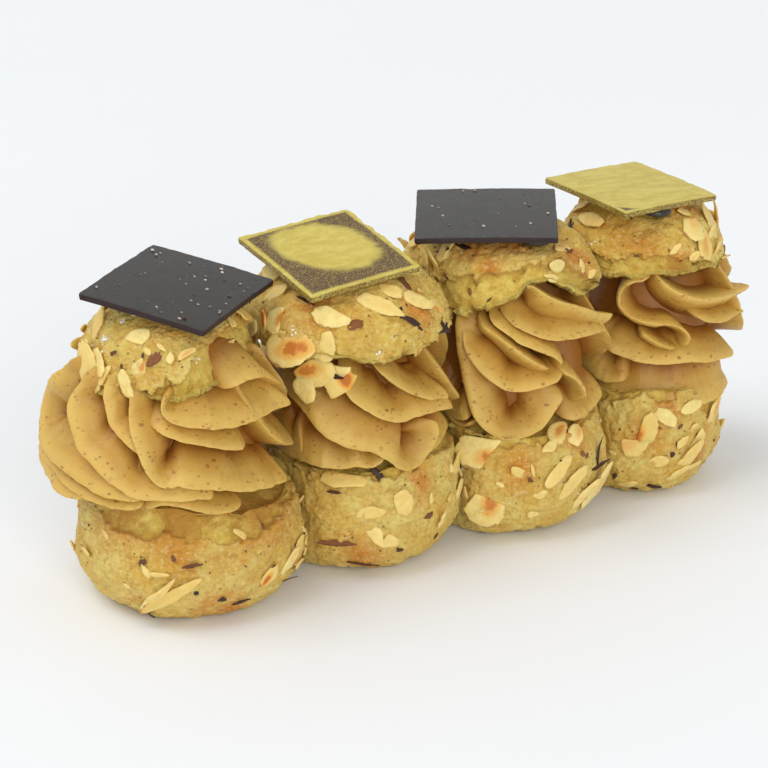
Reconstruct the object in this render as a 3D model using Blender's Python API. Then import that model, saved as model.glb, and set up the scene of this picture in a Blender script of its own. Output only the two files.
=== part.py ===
"""Paris-brest bar: four choux buns baked side by side as one strip, cut through, filled with four
piped swirls of praline cream and closed with the torn tops, which carry four thin chocolate squares.

Metres, +Z up. The strip lies along X and stands on Z = 0, with the origin under the middle of its box.
Sizes below are in millimetres and degrees, and MM turns them into metres.
"""

from dataclasses import dataclass

import bpy
import numpy as np

MM = 0.001

# The strip. Bun 1 is the one at -X.
BUN_PITCH = 35.8
STRIP_SHIFT = (4.4, -1.3)
GAP = 0.35
LIFT = 0.7

# The lower halves.
BASE_WIDEST = 11.5
BASE_CONTACT = 0.56
BASE_RIM = 0.88
BASE_UNEVEN = 0.02
CUT_TEAR = 0.9
CUT_END = 22.0
CUT_END_RISE = 3.5
CRUST = 1.7
DISH_DEPTH = 3.2
DISH_INSET = 0.8

# The swirls of cream.
CREAM_WIDEST = 0.38
CREAM_NARROW_FOOT = 0.07
CREAM_NARROW_TOP = 0.20
FOOT_SHARE = 0.72
FOOT_FLARE = 0.4
FOLD_WIDTH = 3.2
FOLD_DEPTH = 4.8
FOOT_DEPTH = 0.45
CREST_CURL = 1.6
CREST_POINTS = 25
SWIRL_SWEEP = 75.0

# The torn tops.
LID_TEAR = 0.9
LID_UNEVEN = 0.025
LID_ENDS = (24.0, 18.0)
LID_END_DROPS = (3.4, 1.0)
NOTCH_PLACE = (21.0, -20.0)
NOTCH_HEIGHT = 5.5
NOTCH_WIDTH = 7.0
DOME_SIDE = 2.3
DOME_TOP = 2.0

# The chocolate squares and the dabs that hold two of them.
SQUARE_THICKNESS = 1.2
SQUARE_BOW = 0.35
SQUARE_CELLS = 6
DAB_RADIUS = 3.2
DAB_HEIGHT = 1.1

# How finely each shape is divided.
BASE_TURNS = 25
CREAM_TURNS = 48
CREAM_ROWS = 11
LID_TURNS = 25
DAB_TURNS = 12


@dataclass(frozen=True)
class Fold:
    """One fold of piped cream. Its crest starts under the lid at a turn and a height, falls to its
    foot while it sweeps round, and its middle can hang back by belly degrees."""

    start: float
    sweep: float
    top: float
    foot: float
    belly: float = 0.0
    depth: float = FOLD_DEPTH


@dataclass(frozen=True)
class Bun:
    """One bun of the strip: its lower half, its swirl and its torn top. Shifts are from the bun's place
    in the row, cut is the height of the lower half's torn edge, level that of the top's torn edge, and
    rise that of the dome above it."""

    base_radius: float
    base_shift: tuple
    cut: float
    cream_radius: float
    cream_shift: tuple
    lid_radius: float
    lid_shift: tuple
    level: float
    rise: float
    folds: tuple


@dataclass(frozen=True)
class Square:
    """One chocolate square: its sides, the place of its middle from the bun's, and how it is turned."""

    sides: tuple
    shift: tuple
    height: float
    spin: float
    tilt: tuple


def back_folds(first, count, step):
    """The folds on the side away from the front, each a step further round."""
    return tuple(Fold(first + step * i, SWIRL_SWEEP, 48, 27) for i in range(count))


BUNS = (
    Bun(23.0, (-2.6, 0.0), 21.0, 24.2, (-6.0, 2.2), 18.9, (-4.4, 0.6), 48.6, 13.4, (
        Fold(-166, 40, 49, 28, belly=30),
        Fold(-156, 62, 50, 25, belly=20),
        Fold(-133, 89, 50, 25),
        Fold(-122, 80, 47, 40),
        *back_folds(-75, 5, 46),
    )),
    Bun(21.6, (-0.2, 0.0), 24.2, 21.2, (-0.8, 0.0), 21.6, (-2.2, 0.4), 47.2, 14.3, (
        Fold(-172, 84, 41, 26),
        Fold(-176, 76, 25, 28),
        Fold(-124, 60, 47, 34),
        Fold(-100, 40, 47, 37),
        *back_folds(-60, 4, 52),
    )),
    Bun(21.4, (-1.4, -2.4), 23.4, 21.8, (0.2, -0.4), 20.8, (-1.2, 0.4), 49.4, 14.7, (
        Fold(-153, 42, 47, 25, belly=4),
        Fold(-146, 60, 47, 34),
        Fold(-132, 46, 49, 39),
        Fold(-122, 86, 50, 41, belly=4),
        Fold(-88, 20, 37, 28),
        *back_folds(-50, 4, 50),
    )),
    Bun(17.6, (-3.0, -2.8), 24.6, 20.0, (0.8, -0.2), 17.6, (-1.0, 0.4), 48.6, 13.8, (
        Fold(-150, 50, 46, 35),
        Fold(-118, 80, 50, 40),
        Fold(-156, 94, 36, 29),
        *back_folds(-55, 5, 46),
    )),
)

SQUARES = {
    "plaque_dark_1": Square((26.9, 27.9), (-3.7, 0.0), 62.9, -57.3, (5.9, 2.4)),
    "plaque_gold_2": Square((26.8, 25.2), (-5.6, 0.4), 63.2, -87.8, (8.7, -2.5)),
    "plaque_dark_3": Square((28.4, 27.5), (-4.8, 0.0), 64.6, -33.1, (0.6, -1.6)),
    "plaque_gold_4": Square((25.2, 25.5), (-4.0, 0.7), 63.5, -84.0, (1.1, 3.6)),
}
DABS = {"dab_3": ("plaque_dark_3", (9.9, -9.6)), "dab_4": ("plaque_gold_4", (10.2, -2.0))}


def clear_scene():
    for found in list(bpy.data.objects):
        bpy.data.objects.remove(found, do_unlink=True)


def finish(name, colour, roughness, metallic=0.0):
    """A plain material of one colour."""
    material = bpy.data.materials.new(name)
    material.use_nodes = True
    shader = material.node_tree.nodes["Principled BSDF"]
    shader.inputs["Base Color"].default_value = (*colour, 1.0)
    shader.inputs["Roughness"].default_value = roughness
    shader.inputs["Metallic"].default_value = metallic
    return material


def turns(count):
    """Even turns about Z, in radians, once round."""
    return np.arange(count) * (2 * np.pi / count)


def bun_x(index):
    """Where a bun stands along the row, with the row's middle at 0."""
    return (index - (len(BUNS) - 1) / 2) * BUN_PITCH


def wave(turn, seed):
    """An uneven wave round a bun: three cosines with seeded phases, between about -1 and 1."""
    phases = np.random.default_rng(seed).uniform(0, 2 * np.pi, 3)
    lumps = np.array([2, 3, 5])
    return (np.cos(np.multiply.outer(turn, lumps) + phases) @ np.array([0.5, 0.3, 0.2]))


def ripple(x, y, seed):
    """An uneven ripple over the whole strip: four crossing waves of 13 to 40 mm, from -1 to 1."""
    draw = np.random.default_rng(seed)
    total = 0.0
    for length in (13.0, 19.0, 27.0, 40.0):
        bearing, phase = draw.uniform(0, 2 * np.pi, 2)
        along = x * np.cos(bearing) + y * np.sin(bearing)
        total = total + np.cos(along * 2 * np.pi / length + phase)
    return total / 4


def cut_height(x, y):
    """The torn top edge of the lower halves. It runs from bun to bun, and rises at the first one's end."""
    places = [bun_x(0) - CUT_END, *(bun_x(i) for i in range(len(BUNS)))]
    levels = [BUNS[0].cut + CUT_END_RISE, *(bun.cut for bun in BUNS)]
    return np.interp(x, places, levels) + CUT_TEAR * ripple(x, y, 5)


def lid_height(x, y):
    """The torn lower edge of the tops. It runs from bun to bun, the first top hangs at its end, and the
    third has a notch torn into its front."""
    middles = [bun_x(i) for i in range(len(BUNS))]
    places = [middles[0] - LID_ENDS[0], *middles, middles[-1] + LID_ENDS[1]]
    levels = [bun.level for bun in BUNS]
    levels = [levels[0] - LID_END_DROPS[0], *levels, levels[-1] - LID_END_DROPS[1]]
    apart = np.hypot(x - NOTCH_PLACE[0], y - NOTCH_PLACE[1])
    notch = NOTCH_HEIGHT * np.exp(-((apart / NOTCH_WIDTH) ** 2))
    return np.interp(x, places, levels) + LID_TEAR * ripple(x, y, 8) + notch


def ring(centre, radius, turn):
    """X and Y of the points at a radius round a centre."""
    return centre[0] + radius * np.cos(turn), centre[1] + radius * np.sin(turn)


def base_rings(index, bun):
    """A bun's lower half: flat spot, round flank, torn rim, crust and the dish that holds the cream."""
    turn = turns(BASE_TURNS)
    centre = (bun_x(index) + bun.base_shift[0], bun.base_shift[1])
    outline = bun.base_radius * (1 + BASE_UNEVEN * wave(turn, index))
    rings = []
    for lift in np.linspace(0, np.pi / 2, 6):
        radius = outline * (BASE_CONTACT + (1 - BASE_CONTACT) * np.sin(lift))
        x, y = ring(centre, radius, turn)
        rings.append((x, y, np.full_like(x, BASE_WIDEST * (1 - np.cos(lift)))))
    for share in (0.35, 0.7, 1.0):
        x, y = ring(centre, outline * (1 - (1 - BASE_RIM) * share**2), turn)
        rings.append((x, y, BASE_WIDEST + share * (cut_height(x, y) - BASE_WIDEST)))
    x, y = ring(centre, outline * BASE_RIM - CRUST, turn)
    rings.append((x, y, cut_height(x, y)))
    x, y = ring(centre, outline * BASE_RIM - CRUST - DISH_INSET, turn)
    rings.append((x, y, cut_height(x, y) - DISH_DEPTH))
    floor = float(cut_height(*centre)) - DISH_DEPTH
    return np.array(rings), (*centre, 0.0), (*centre, floor)


def fold_bump(fold, turn, height, radius):
    """How far a fold lifts the side: 1 on its crest, and a bell curve of the distance from the crest,
    measured on the side as if it were unrolled."""
    along = np.linspace(0, 1, CREST_POINTS)
    crest_turn = fold.start + fold.sweep * along**CREST_CURL - fold.belly * np.sin(np.pi * along)
    crest_height = fold.top + (fold.foot - fold.top) * (1 - (1 - along) ** CREST_CURL)
    apart = np.degrees(turn)[..., None] - crest_turn
    apart = np.radians((apart + 180) % 360 - 180) * radius
    fall = height[..., None] - crest_height
    nearest = np.sqrt(apart**2 + fall**2).min(axis=-1)
    return np.exp(-((nearest / FOLD_WIDTH) ** 2))


def cream_envelope(share):
    """The swirl's outline from foot to lid, as a share of its radius."""
    below = 1 - CREAM_NARROW_FOOT * (1 - share / CREAM_WIDEST) ** 2
    above = 1 - CREAM_NARROW_TOP * ((share - CREAM_WIDEST) / (1 - CREAM_WIDEST)) ** 2
    return np.where(share < CREAM_WIDEST, below, above)


def between_neighbours(x, index):
    """Presses a swirl flat where it meets the next one, halfway between two buns."""
    room = BUN_PITCH / 2 - GAP
    if index > 0:
        x = np.maximum(x, bun_x(index) - room)
    if index < len(BUNS) - 1:
        x = np.minimum(x, bun_x(index) + room)
    return x


def cream_rings(index, bun):
    """A swirl of cream: a foot in the dish, a folded side from the rim up, and a top under the lid.
    Its columns of points turn with the folds, which keeps the crests sharp."""
    straight = turns(CREAM_TURNS)
    centre = (bun_x(index) + bun.cream_shift[0], bun.cream_shift[1])
    dish = (bun_x(index) + bun.base_shift[0], bun.base_shift[1])
    foot = bun.base_radius * BASE_RIM * FOOT_SHARE
    rings = []
    for radius, lift in ((foot, -DISH_DEPTH + LIFT), (foot + FOOT_FLARE, LIFT)):
        x, y = ring(dish, radius, straight + np.radians(SWIRL_SWEEP))
        rings.append((x, y, cut_height(x, y) + lift))
    for share in np.linspace(0, 1, CREAM_ROWS):
        turn = straight + np.radians(SWIRL_SWEEP) * (1 - share) ** CREST_CURL
        core = bun.cream_radius * cream_envelope(np.full(CREAM_TURNS, share))
        x, y = ring(centre, core, turn)
        x = between_neighbours(x, index)
        low, high = cut_height(x, y) + LIFT, lid_height(x, y) - LIFT
        height = low + share * (high - low)
        bumps = [fold.depth * fold_bump(fold, turn, height, bun.cream_radius) for fold in bun.folds]
        groove = (FOLD_DEPTH - np.max(bumps, axis=0)) * min(1.0, FOOT_DEPTH + 2 * share)
        radius = core - groove
        x, y = ring(centre, radius, turn)
        x = between_neighbours(x, index)
        low, high = cut_height(x, y) + LIFT, lid_height(x, y) - LIFT
        rings.append((x, y, low + share * (high - low)))
    bottom = (*dish, float(cut_height(*dish)) - DISH_DEPTH + GAP)
    top = (*centre, float(lid_height(*centre)) - LIFT)
    return np.array(rings), bottom, top


def lid_rings(index, bun):
    """A bun's torn top: a flat underside on the cream, a torn edge, and a dome with steep sides."""
    turn = turns(LID_TURNS)
    centre = (bun_x(index) + bun.lid_shift[0], bun.lid_shift[1])
    outline = bun.lid_radius * (1 + LID_UNEVEN * wave(turn, 20 + index))
    under = float(lid_height(*centre))
    summit = under + bun.rise
    rings = []
    for radius in (outline * 0.5, outline - CRUST):
        x, y = ring(centre, radius, turn)
        rings.append((x, y, lid_height(x, y)))
    for lift in (0.0, 0.2, 0.45, 0.7, 0.88, 0.97):
        x, y = ring(centre, outline * (1 - lift**DOME_SIDE) ** (1 / DOME_TOP), turn)
        rings.append((x, y, lid_height(x, y) * (1 - lift) + summit * lift))
    return np.array(rings), (*centre, under), (*centre, summit)


def closed_mesh(name, rings, bottom, top):
    """A closed body from stacked rings of points and the pole at each end."""
    rows, count = rings.shape[0], rings.shape[2]
    points = np.vstack([rings.transpose(0, 2, 1).reshape(-1, 3), [bottom, top]]) * MM
    here = np.arange(count)
    after = (here + 1) % count
    low_pole, high_pole = rows * count, rows * count + 1
    faces = []
    for row in range(rows - 1):
        a, b = row * count, (row + 1) * count
        faces += np.stack([a + here, a + after, b + after, b + here], axis=1).tolist()
    last = (rows - 1) * count
    faces += [(low_pole, int(j), int(i)) for i, j in zip(here, after)]
    faces += [(last + int(i), last + int(j), high_pole) for i, j in zip(here, after)]
    mesh = bpy.data.meshes.new(name)
    mesh.from_pydata(points.tolist(), [], faces)
    mesh.shade_smooth()
    return mesh


def add(name, mesh, material, parent):
    """One named object in the scene, on the strip."""
    mesh.materials.append(material)
    made = bpy.data.objects.new(name, mesh)
    bpy.context.scene.collection.objects.link(made)
    made.parent = parent
    return made


def joined_strip(name, shapes, material, parent):
    """One body from the buns' bodies, which grew into each other in the oven."""
    strip = None
    for number, shape in enumerate(shapes, start=1):
        body = closed_mesh(f"{name}_{number}", *shape)
        if strip is None:
            strip = add(name, body, material, parent)
            continue
        bun = add(f"{name}_bun_{number}", body, material, parent)
        bun.hide_render = True
        bun.display_type = "WIRE"
        union = strip.modifiers.new(f"bun_{number}", "BOOLEAN")
        union.operation = "UNION"
        union.object = bun
        union.solver = "EXACT"
    return strip


def square_mesh(name, square):
    """A thin square sheet, a little bowed: its middle stands higher than its corners."""
    share = np.linspace(-0.5, 0.5, SQUARE_CELLS + 1)
    u, v = np.meshgrid(share, share, indexing="ij")
    sag = SQUARE_BOW * (1 - 2 * (u**2 + v**2)) - SQUARE_BOW / 2
    sheets = []
    size = SQUARE_CELLS + 1
    for side in (-0.5, 0.5):
        sheets.append(np.stack([
            u * square.sides[0], v * square.sides[1], sag + side * SQUARE_THICKNESS
        ], axis=-1).reshape(-1, 3))
    number = np.arange(size * size).reshape(size, size)
    lower = np.stack([
        number[:-1, :-1], number[:-1, 1:], number[1:, 1:], number[1:, :-1]
    ], axis=-1).reshape(-1, 4)
    upper = lower[:, ::-1] + size * size
    edge = np.concatenate([number[:-1, 0], number[-1, :-1], number[:0:-1, -1], number[0, :0:-1]])
    after = np.roll(edge, -1)
    rim = np.stack([edge, after, after + size * size, edge + size * size], axis=1)
    mesh = bpy.data.meshes.new(name)
    mesh.from_pydata((np.vstack(sheets) * MM).tolist(), [], np.vstack([lower, upper, rim]).tolist())
    return mesh


def dab_mesh(name):
    """A round dab of chocolate, wider at its middle than at its two flat ends."""
    turn = turns(DAB_TURNS)
    rings = []
    for share, width in ((-0.5, 0.8), (-0.2, 1.0), (0.2, 1.0), (0.5, 0.8)):
        x, y = ring((0.0, 0.0), DAB_RADIUS * width, turn)
        rings.append((x, y, np.full_like(x, share * DAB_HEIGHT)))
    return closed_mesh(name, np.array(rings), (0, 0, -DAB_HEIGHT / 2), (0, 0, DAB_HEIGHT / 2))


def main():
    clear_scene()
    choux = finish("choux", (0.62, 0.42, 0.14), 0.6)
    cream = finish("praline_cream", (0.53, 0.31, 0.12), 0.45)
    dark = finish("dark_chocolate", (0.05, 0.028, 0.02), 0.25)
    gold = finish("gold_dust", (0.72, 0.58, 0.18), 0.4, 0.3)
    strip = bpy.data.objects.new("strip", None)
    bpy.context.scene.collection.objects.link(strip)
    strip.location = (STRIP_SHIFT[0] * MM, STRIP_SHIFT[1] * MM, 0.0)
    joined_strip("choux_base", [base_rings(i, bun) for i, bun in enumerate(BUNS)], choux, strip)
    joined_strip("choux_lid", [lid_rings(i, bun) for i, bun in enumerate(BUNS)], choux, strip)
    for index, bun in enumerate(BUNS):
        name = f"cream_{index + 1}"
        add(name, closed_mesh(name, *cream_rings(index, bun)), cream, strip)
    for index, (name, square) in enumerate(SQUARES.items()):
        made = add(name, square_mesh(name, square), gold if "gold" in name else dark, strip)
        place = (bun_x(index) + square.shift[0], square.shift[1], square.height)
        made.location = [value * MM for value in place]
        made.rotation_mode = "ZYX"
        made.rotation_euler = np.radians((*square.tilt, square.spin)).tolist()
    for name, (square_name, shift) in DABS.items():
        made = add(name, dab_mesh(name), dark, bpy.data.objects[square_name])
        hang = (SQUARE_THICKNESS + DAB_HEIGHT) / 2 + GAP + SQUARE_BOW / 2
        made.location = (shift[0] * MM, shift[1] * MM, -hang * MM)


main()
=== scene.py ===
"""Finishes the paris-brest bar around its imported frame: crust and crumb, piped praline cream,
chocolate squares, almond flakes, nut skins, sugar and crumbs, and the stage it is shown on.

Shapes are worked out in millimetres and degrees in the row of buns, and MM turns them into metres.
"""

from dataclasses import dataclass
from functools import lru_cache
from itertools import product

import bpy
import numpy as np
from bpy.props import FloatProperty, FloatVectorProperty, IntProperty, PointerProperty
from mathutils import Euler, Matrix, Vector


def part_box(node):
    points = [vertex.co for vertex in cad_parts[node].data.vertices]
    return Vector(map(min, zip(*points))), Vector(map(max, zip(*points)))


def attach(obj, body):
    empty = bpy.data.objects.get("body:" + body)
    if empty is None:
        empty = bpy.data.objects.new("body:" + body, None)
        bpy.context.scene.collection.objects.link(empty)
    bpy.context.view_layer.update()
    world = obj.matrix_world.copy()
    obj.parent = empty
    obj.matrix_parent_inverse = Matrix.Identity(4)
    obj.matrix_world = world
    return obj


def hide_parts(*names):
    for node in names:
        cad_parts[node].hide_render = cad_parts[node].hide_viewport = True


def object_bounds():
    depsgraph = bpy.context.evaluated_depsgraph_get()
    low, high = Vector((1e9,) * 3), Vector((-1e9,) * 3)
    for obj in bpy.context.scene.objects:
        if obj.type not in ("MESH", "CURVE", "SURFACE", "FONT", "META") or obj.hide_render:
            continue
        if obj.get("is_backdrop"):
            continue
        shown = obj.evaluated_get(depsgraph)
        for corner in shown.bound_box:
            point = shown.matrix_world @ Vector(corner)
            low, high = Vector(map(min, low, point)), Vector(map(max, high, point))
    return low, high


bl_info = {
    "name": "Paris-brest bar",
    "version": (1, 0, 0),
    "blender": (4, 5, 0),
    "location": "3D View > Sidebar > Pastry",
    "description": "Crust, piped cream, chocolate squares and toppings of a filled choux bar",
    "category": "Add Mesh",
}

MM = 0.001
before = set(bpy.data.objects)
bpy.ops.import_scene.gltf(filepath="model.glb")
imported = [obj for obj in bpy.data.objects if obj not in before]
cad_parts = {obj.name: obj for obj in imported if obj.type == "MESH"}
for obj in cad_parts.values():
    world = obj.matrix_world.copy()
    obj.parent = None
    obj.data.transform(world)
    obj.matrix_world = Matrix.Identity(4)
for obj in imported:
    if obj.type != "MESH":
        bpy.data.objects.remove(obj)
CAD_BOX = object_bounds()


# ------------------------------------------------------------
# The bar's own sizes, in millimetres and degrees
# ------------------------------------------------------------

BUN_PITCH = 35.8
BUN_COUNT = 4
MEETING = BUN_PITCH / 2 + 0.08

BASE_WIDEST = 11.5
BASE_CONTACT = 0.56
BASE_RIM = 0.88
BASE_UNEVEN = 0.02
CUT_TEAR = 0.9
CUT_END = 22.0
CUT_END_RISE = 3.5
CRUST = 1.7
CRUMB_RISE = 3.4
DISH_INSET = 0.8

LID_TEAR = 0.9
LID_ENDS = (24.0, 18.0)
LID_END_DROPS = (3.4, 1.0)
LID_UNEVEN = 0.025
NOTCH_PLACE = (14.0, -20.0)
NOTCH_HEIGHT = 7.0
NOTCH_WIDTH = 8.5
EDGE_REACH = 0.93
SPOT_REACH = 5
DOME_SIDE = 2.3
DOME_TOP = 2.0
BITTEN_AT = -52.0
BITE_SPREAD = 58.0
MEET_LEFT = 4.8
CRUST_TURNS = 270
FLAT_RINGS = (0.35, 0.75)
LOW_ROWS = 44
UP_ROWS = 65
INSIDE_ROWS = 8
UNDER_ROWS = 11
TORN_SPREAD = {"base": 75.0, "lid": 80.0}
TORN_DEPTH = {"base": 1.1, "lid": 1.4}
FIRST_RIM_RISE = 2.6
RIM_RISE = 0.4

LUMPS = ((0.6, 9.0), (0.4, 4.2))
CRACK_DEPTH = 0.45
CRACK_SIZE = 5.5
GRAIN_HEIGHT = 0.26
GRAIN_SIZE = 1.9
PIT_DEPTH = 0.3
PIT_SIZE = 2.4
BUBBLES = ((0.9, 3.6), (0.5, 1.7))
CRUMB_HEIGHT = 0.5
CRUMB_SIZE = 6.0

CREAM_DEPTH = 5.5
LIP_BLUNT = 1.0
FOOT_DRAW = 0.10
FULL_FROM = 0.36
TOP_DRAW = 0.16
FULL_TO = 0.4
CORE_TURNS = 220
CORE_ROWS = 70
FOLD_COLUMNS = 42
FOLD_ROW = 0.34
FEWEST_FOLD_ROWS = 40
END_ROUND = 2.2
LINE_POINTS = 600
BEND_SPAN = 13
FOLD_WAVES = ((0.08, 7.0), (0.045, 1.8))
FACE_FALL = 1.12
FLANK_FALL = 0.8
BEAD_RISE = 0.3
BEAD_WIDTH = 1.1
FOOT_SINK = 0.9
SKIRT_SINK = 1.6
SKIRT_COLUMNS = 3

PRESS_SOFTNESS = {"base": 2.6, "lid": 2.2, "cream": 2.0}
CREAM_ROOM = MEETING - 0.2


SEEDS = {
    "cut": 5, "rim": 8, "lid_outline": 20, "base_edge": 40, "base_relief": 60, "lid_fray": 80,
    "lid_edge": 90, "lid_relief": 130, "folds": 200, "core_wander": 240, "core_grain": 250,
    "flakes": 300, "squares": 400, "more_flakes": 11, "skins": 21, "sugar": 31, "crumbs": 41,
}


@dataclass(frozen=True)
class Fold:
    """One fold of piped cream: the line of its lip as (turn, height) places round the swirl, how far the
    lip stands out, how wide its soft and its sharp flank are, and how far it leans over the sharp one,
    which lies left of the line's run for side 1 and right for -1. Ends are its strength at both ends."""

    line: tuple
    lift: float = 5.8
    soft: float = 7.0
    sharp: float = 1.4
    lean: float = 1.2
    side: float = -1.0
    ends: tuple = (0.6, 0.9)


@dataclass(frozen=True)
class Bun:
    """One bun of the strip, as its solids have it, and where its crust is torn open: the crumb shows
    for base_tear below the cut and up to lid_tear of the top's height, most at the turns torn_at. Bitten
    is how much of the top's radius came off with the next bun."""

    base_radius: float
    base_shift: tuple
    cut: float
    cream_radius: float
    cream_shift: tuple
    lid_radius: float
    lid_shift: tuple
    level: float
    rise: float
    base_tear: float
    lid_tear: float
    torn_at: tuple
    bitten: float = 0.0


BUNS = (
    Bun(23.0, (-2.6, 0.0), 21.0, 24.2, (-6.0, 2.2), 18.9, (-4.4, 0.6), 48.6, 13.4, 6.0, 0.62,
        (-122, -58), 0.19),
    Bun(21.6, (-0.2, 0.0), 24.2, 21.2, (-0.8, 0.0), 21.6, (-2.2, 0.4), 47.2, 14.3, 1.2, 0.06, (-60, -60)),
    Bun(21.4, (-1.4, -2.4), 23.4, 21.8, (0.2, -0.4), 20.8, (-1.2, 0.4), 49.4, 14.7, 1.0, 0.52, (-120, -120)),
    Bun(17.6, (-3.0, -2.8), 24.6, 20.0, (0.8, -0.2), 17.6, (-1.0, 0.4), 48.6, 13.8, 1.6, 0.34, (-140, -140)),
)


def trailing(first, count, apart):
    """The folds on the far side: each starts further round under the lid and falls as it sweeps."""
    folds = []
    for i in range(count):
        start = first + apart * i
        drop = 2.0 * np.sin(2.7 * i + first)
        line = (
            (start, 51.0), (start + 2, 46.0), (start + 10, 40.0 + drop), (start + 26, 34.5 + drop),
            (start + 52, 30.0), (start + 78, 27.0), (start + 96, 27.5),
        )
        folds.append(Fold(line, lean=1.2 + 0.8 * (i % 2), soft=8.5))
    return tuple(folds)


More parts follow.
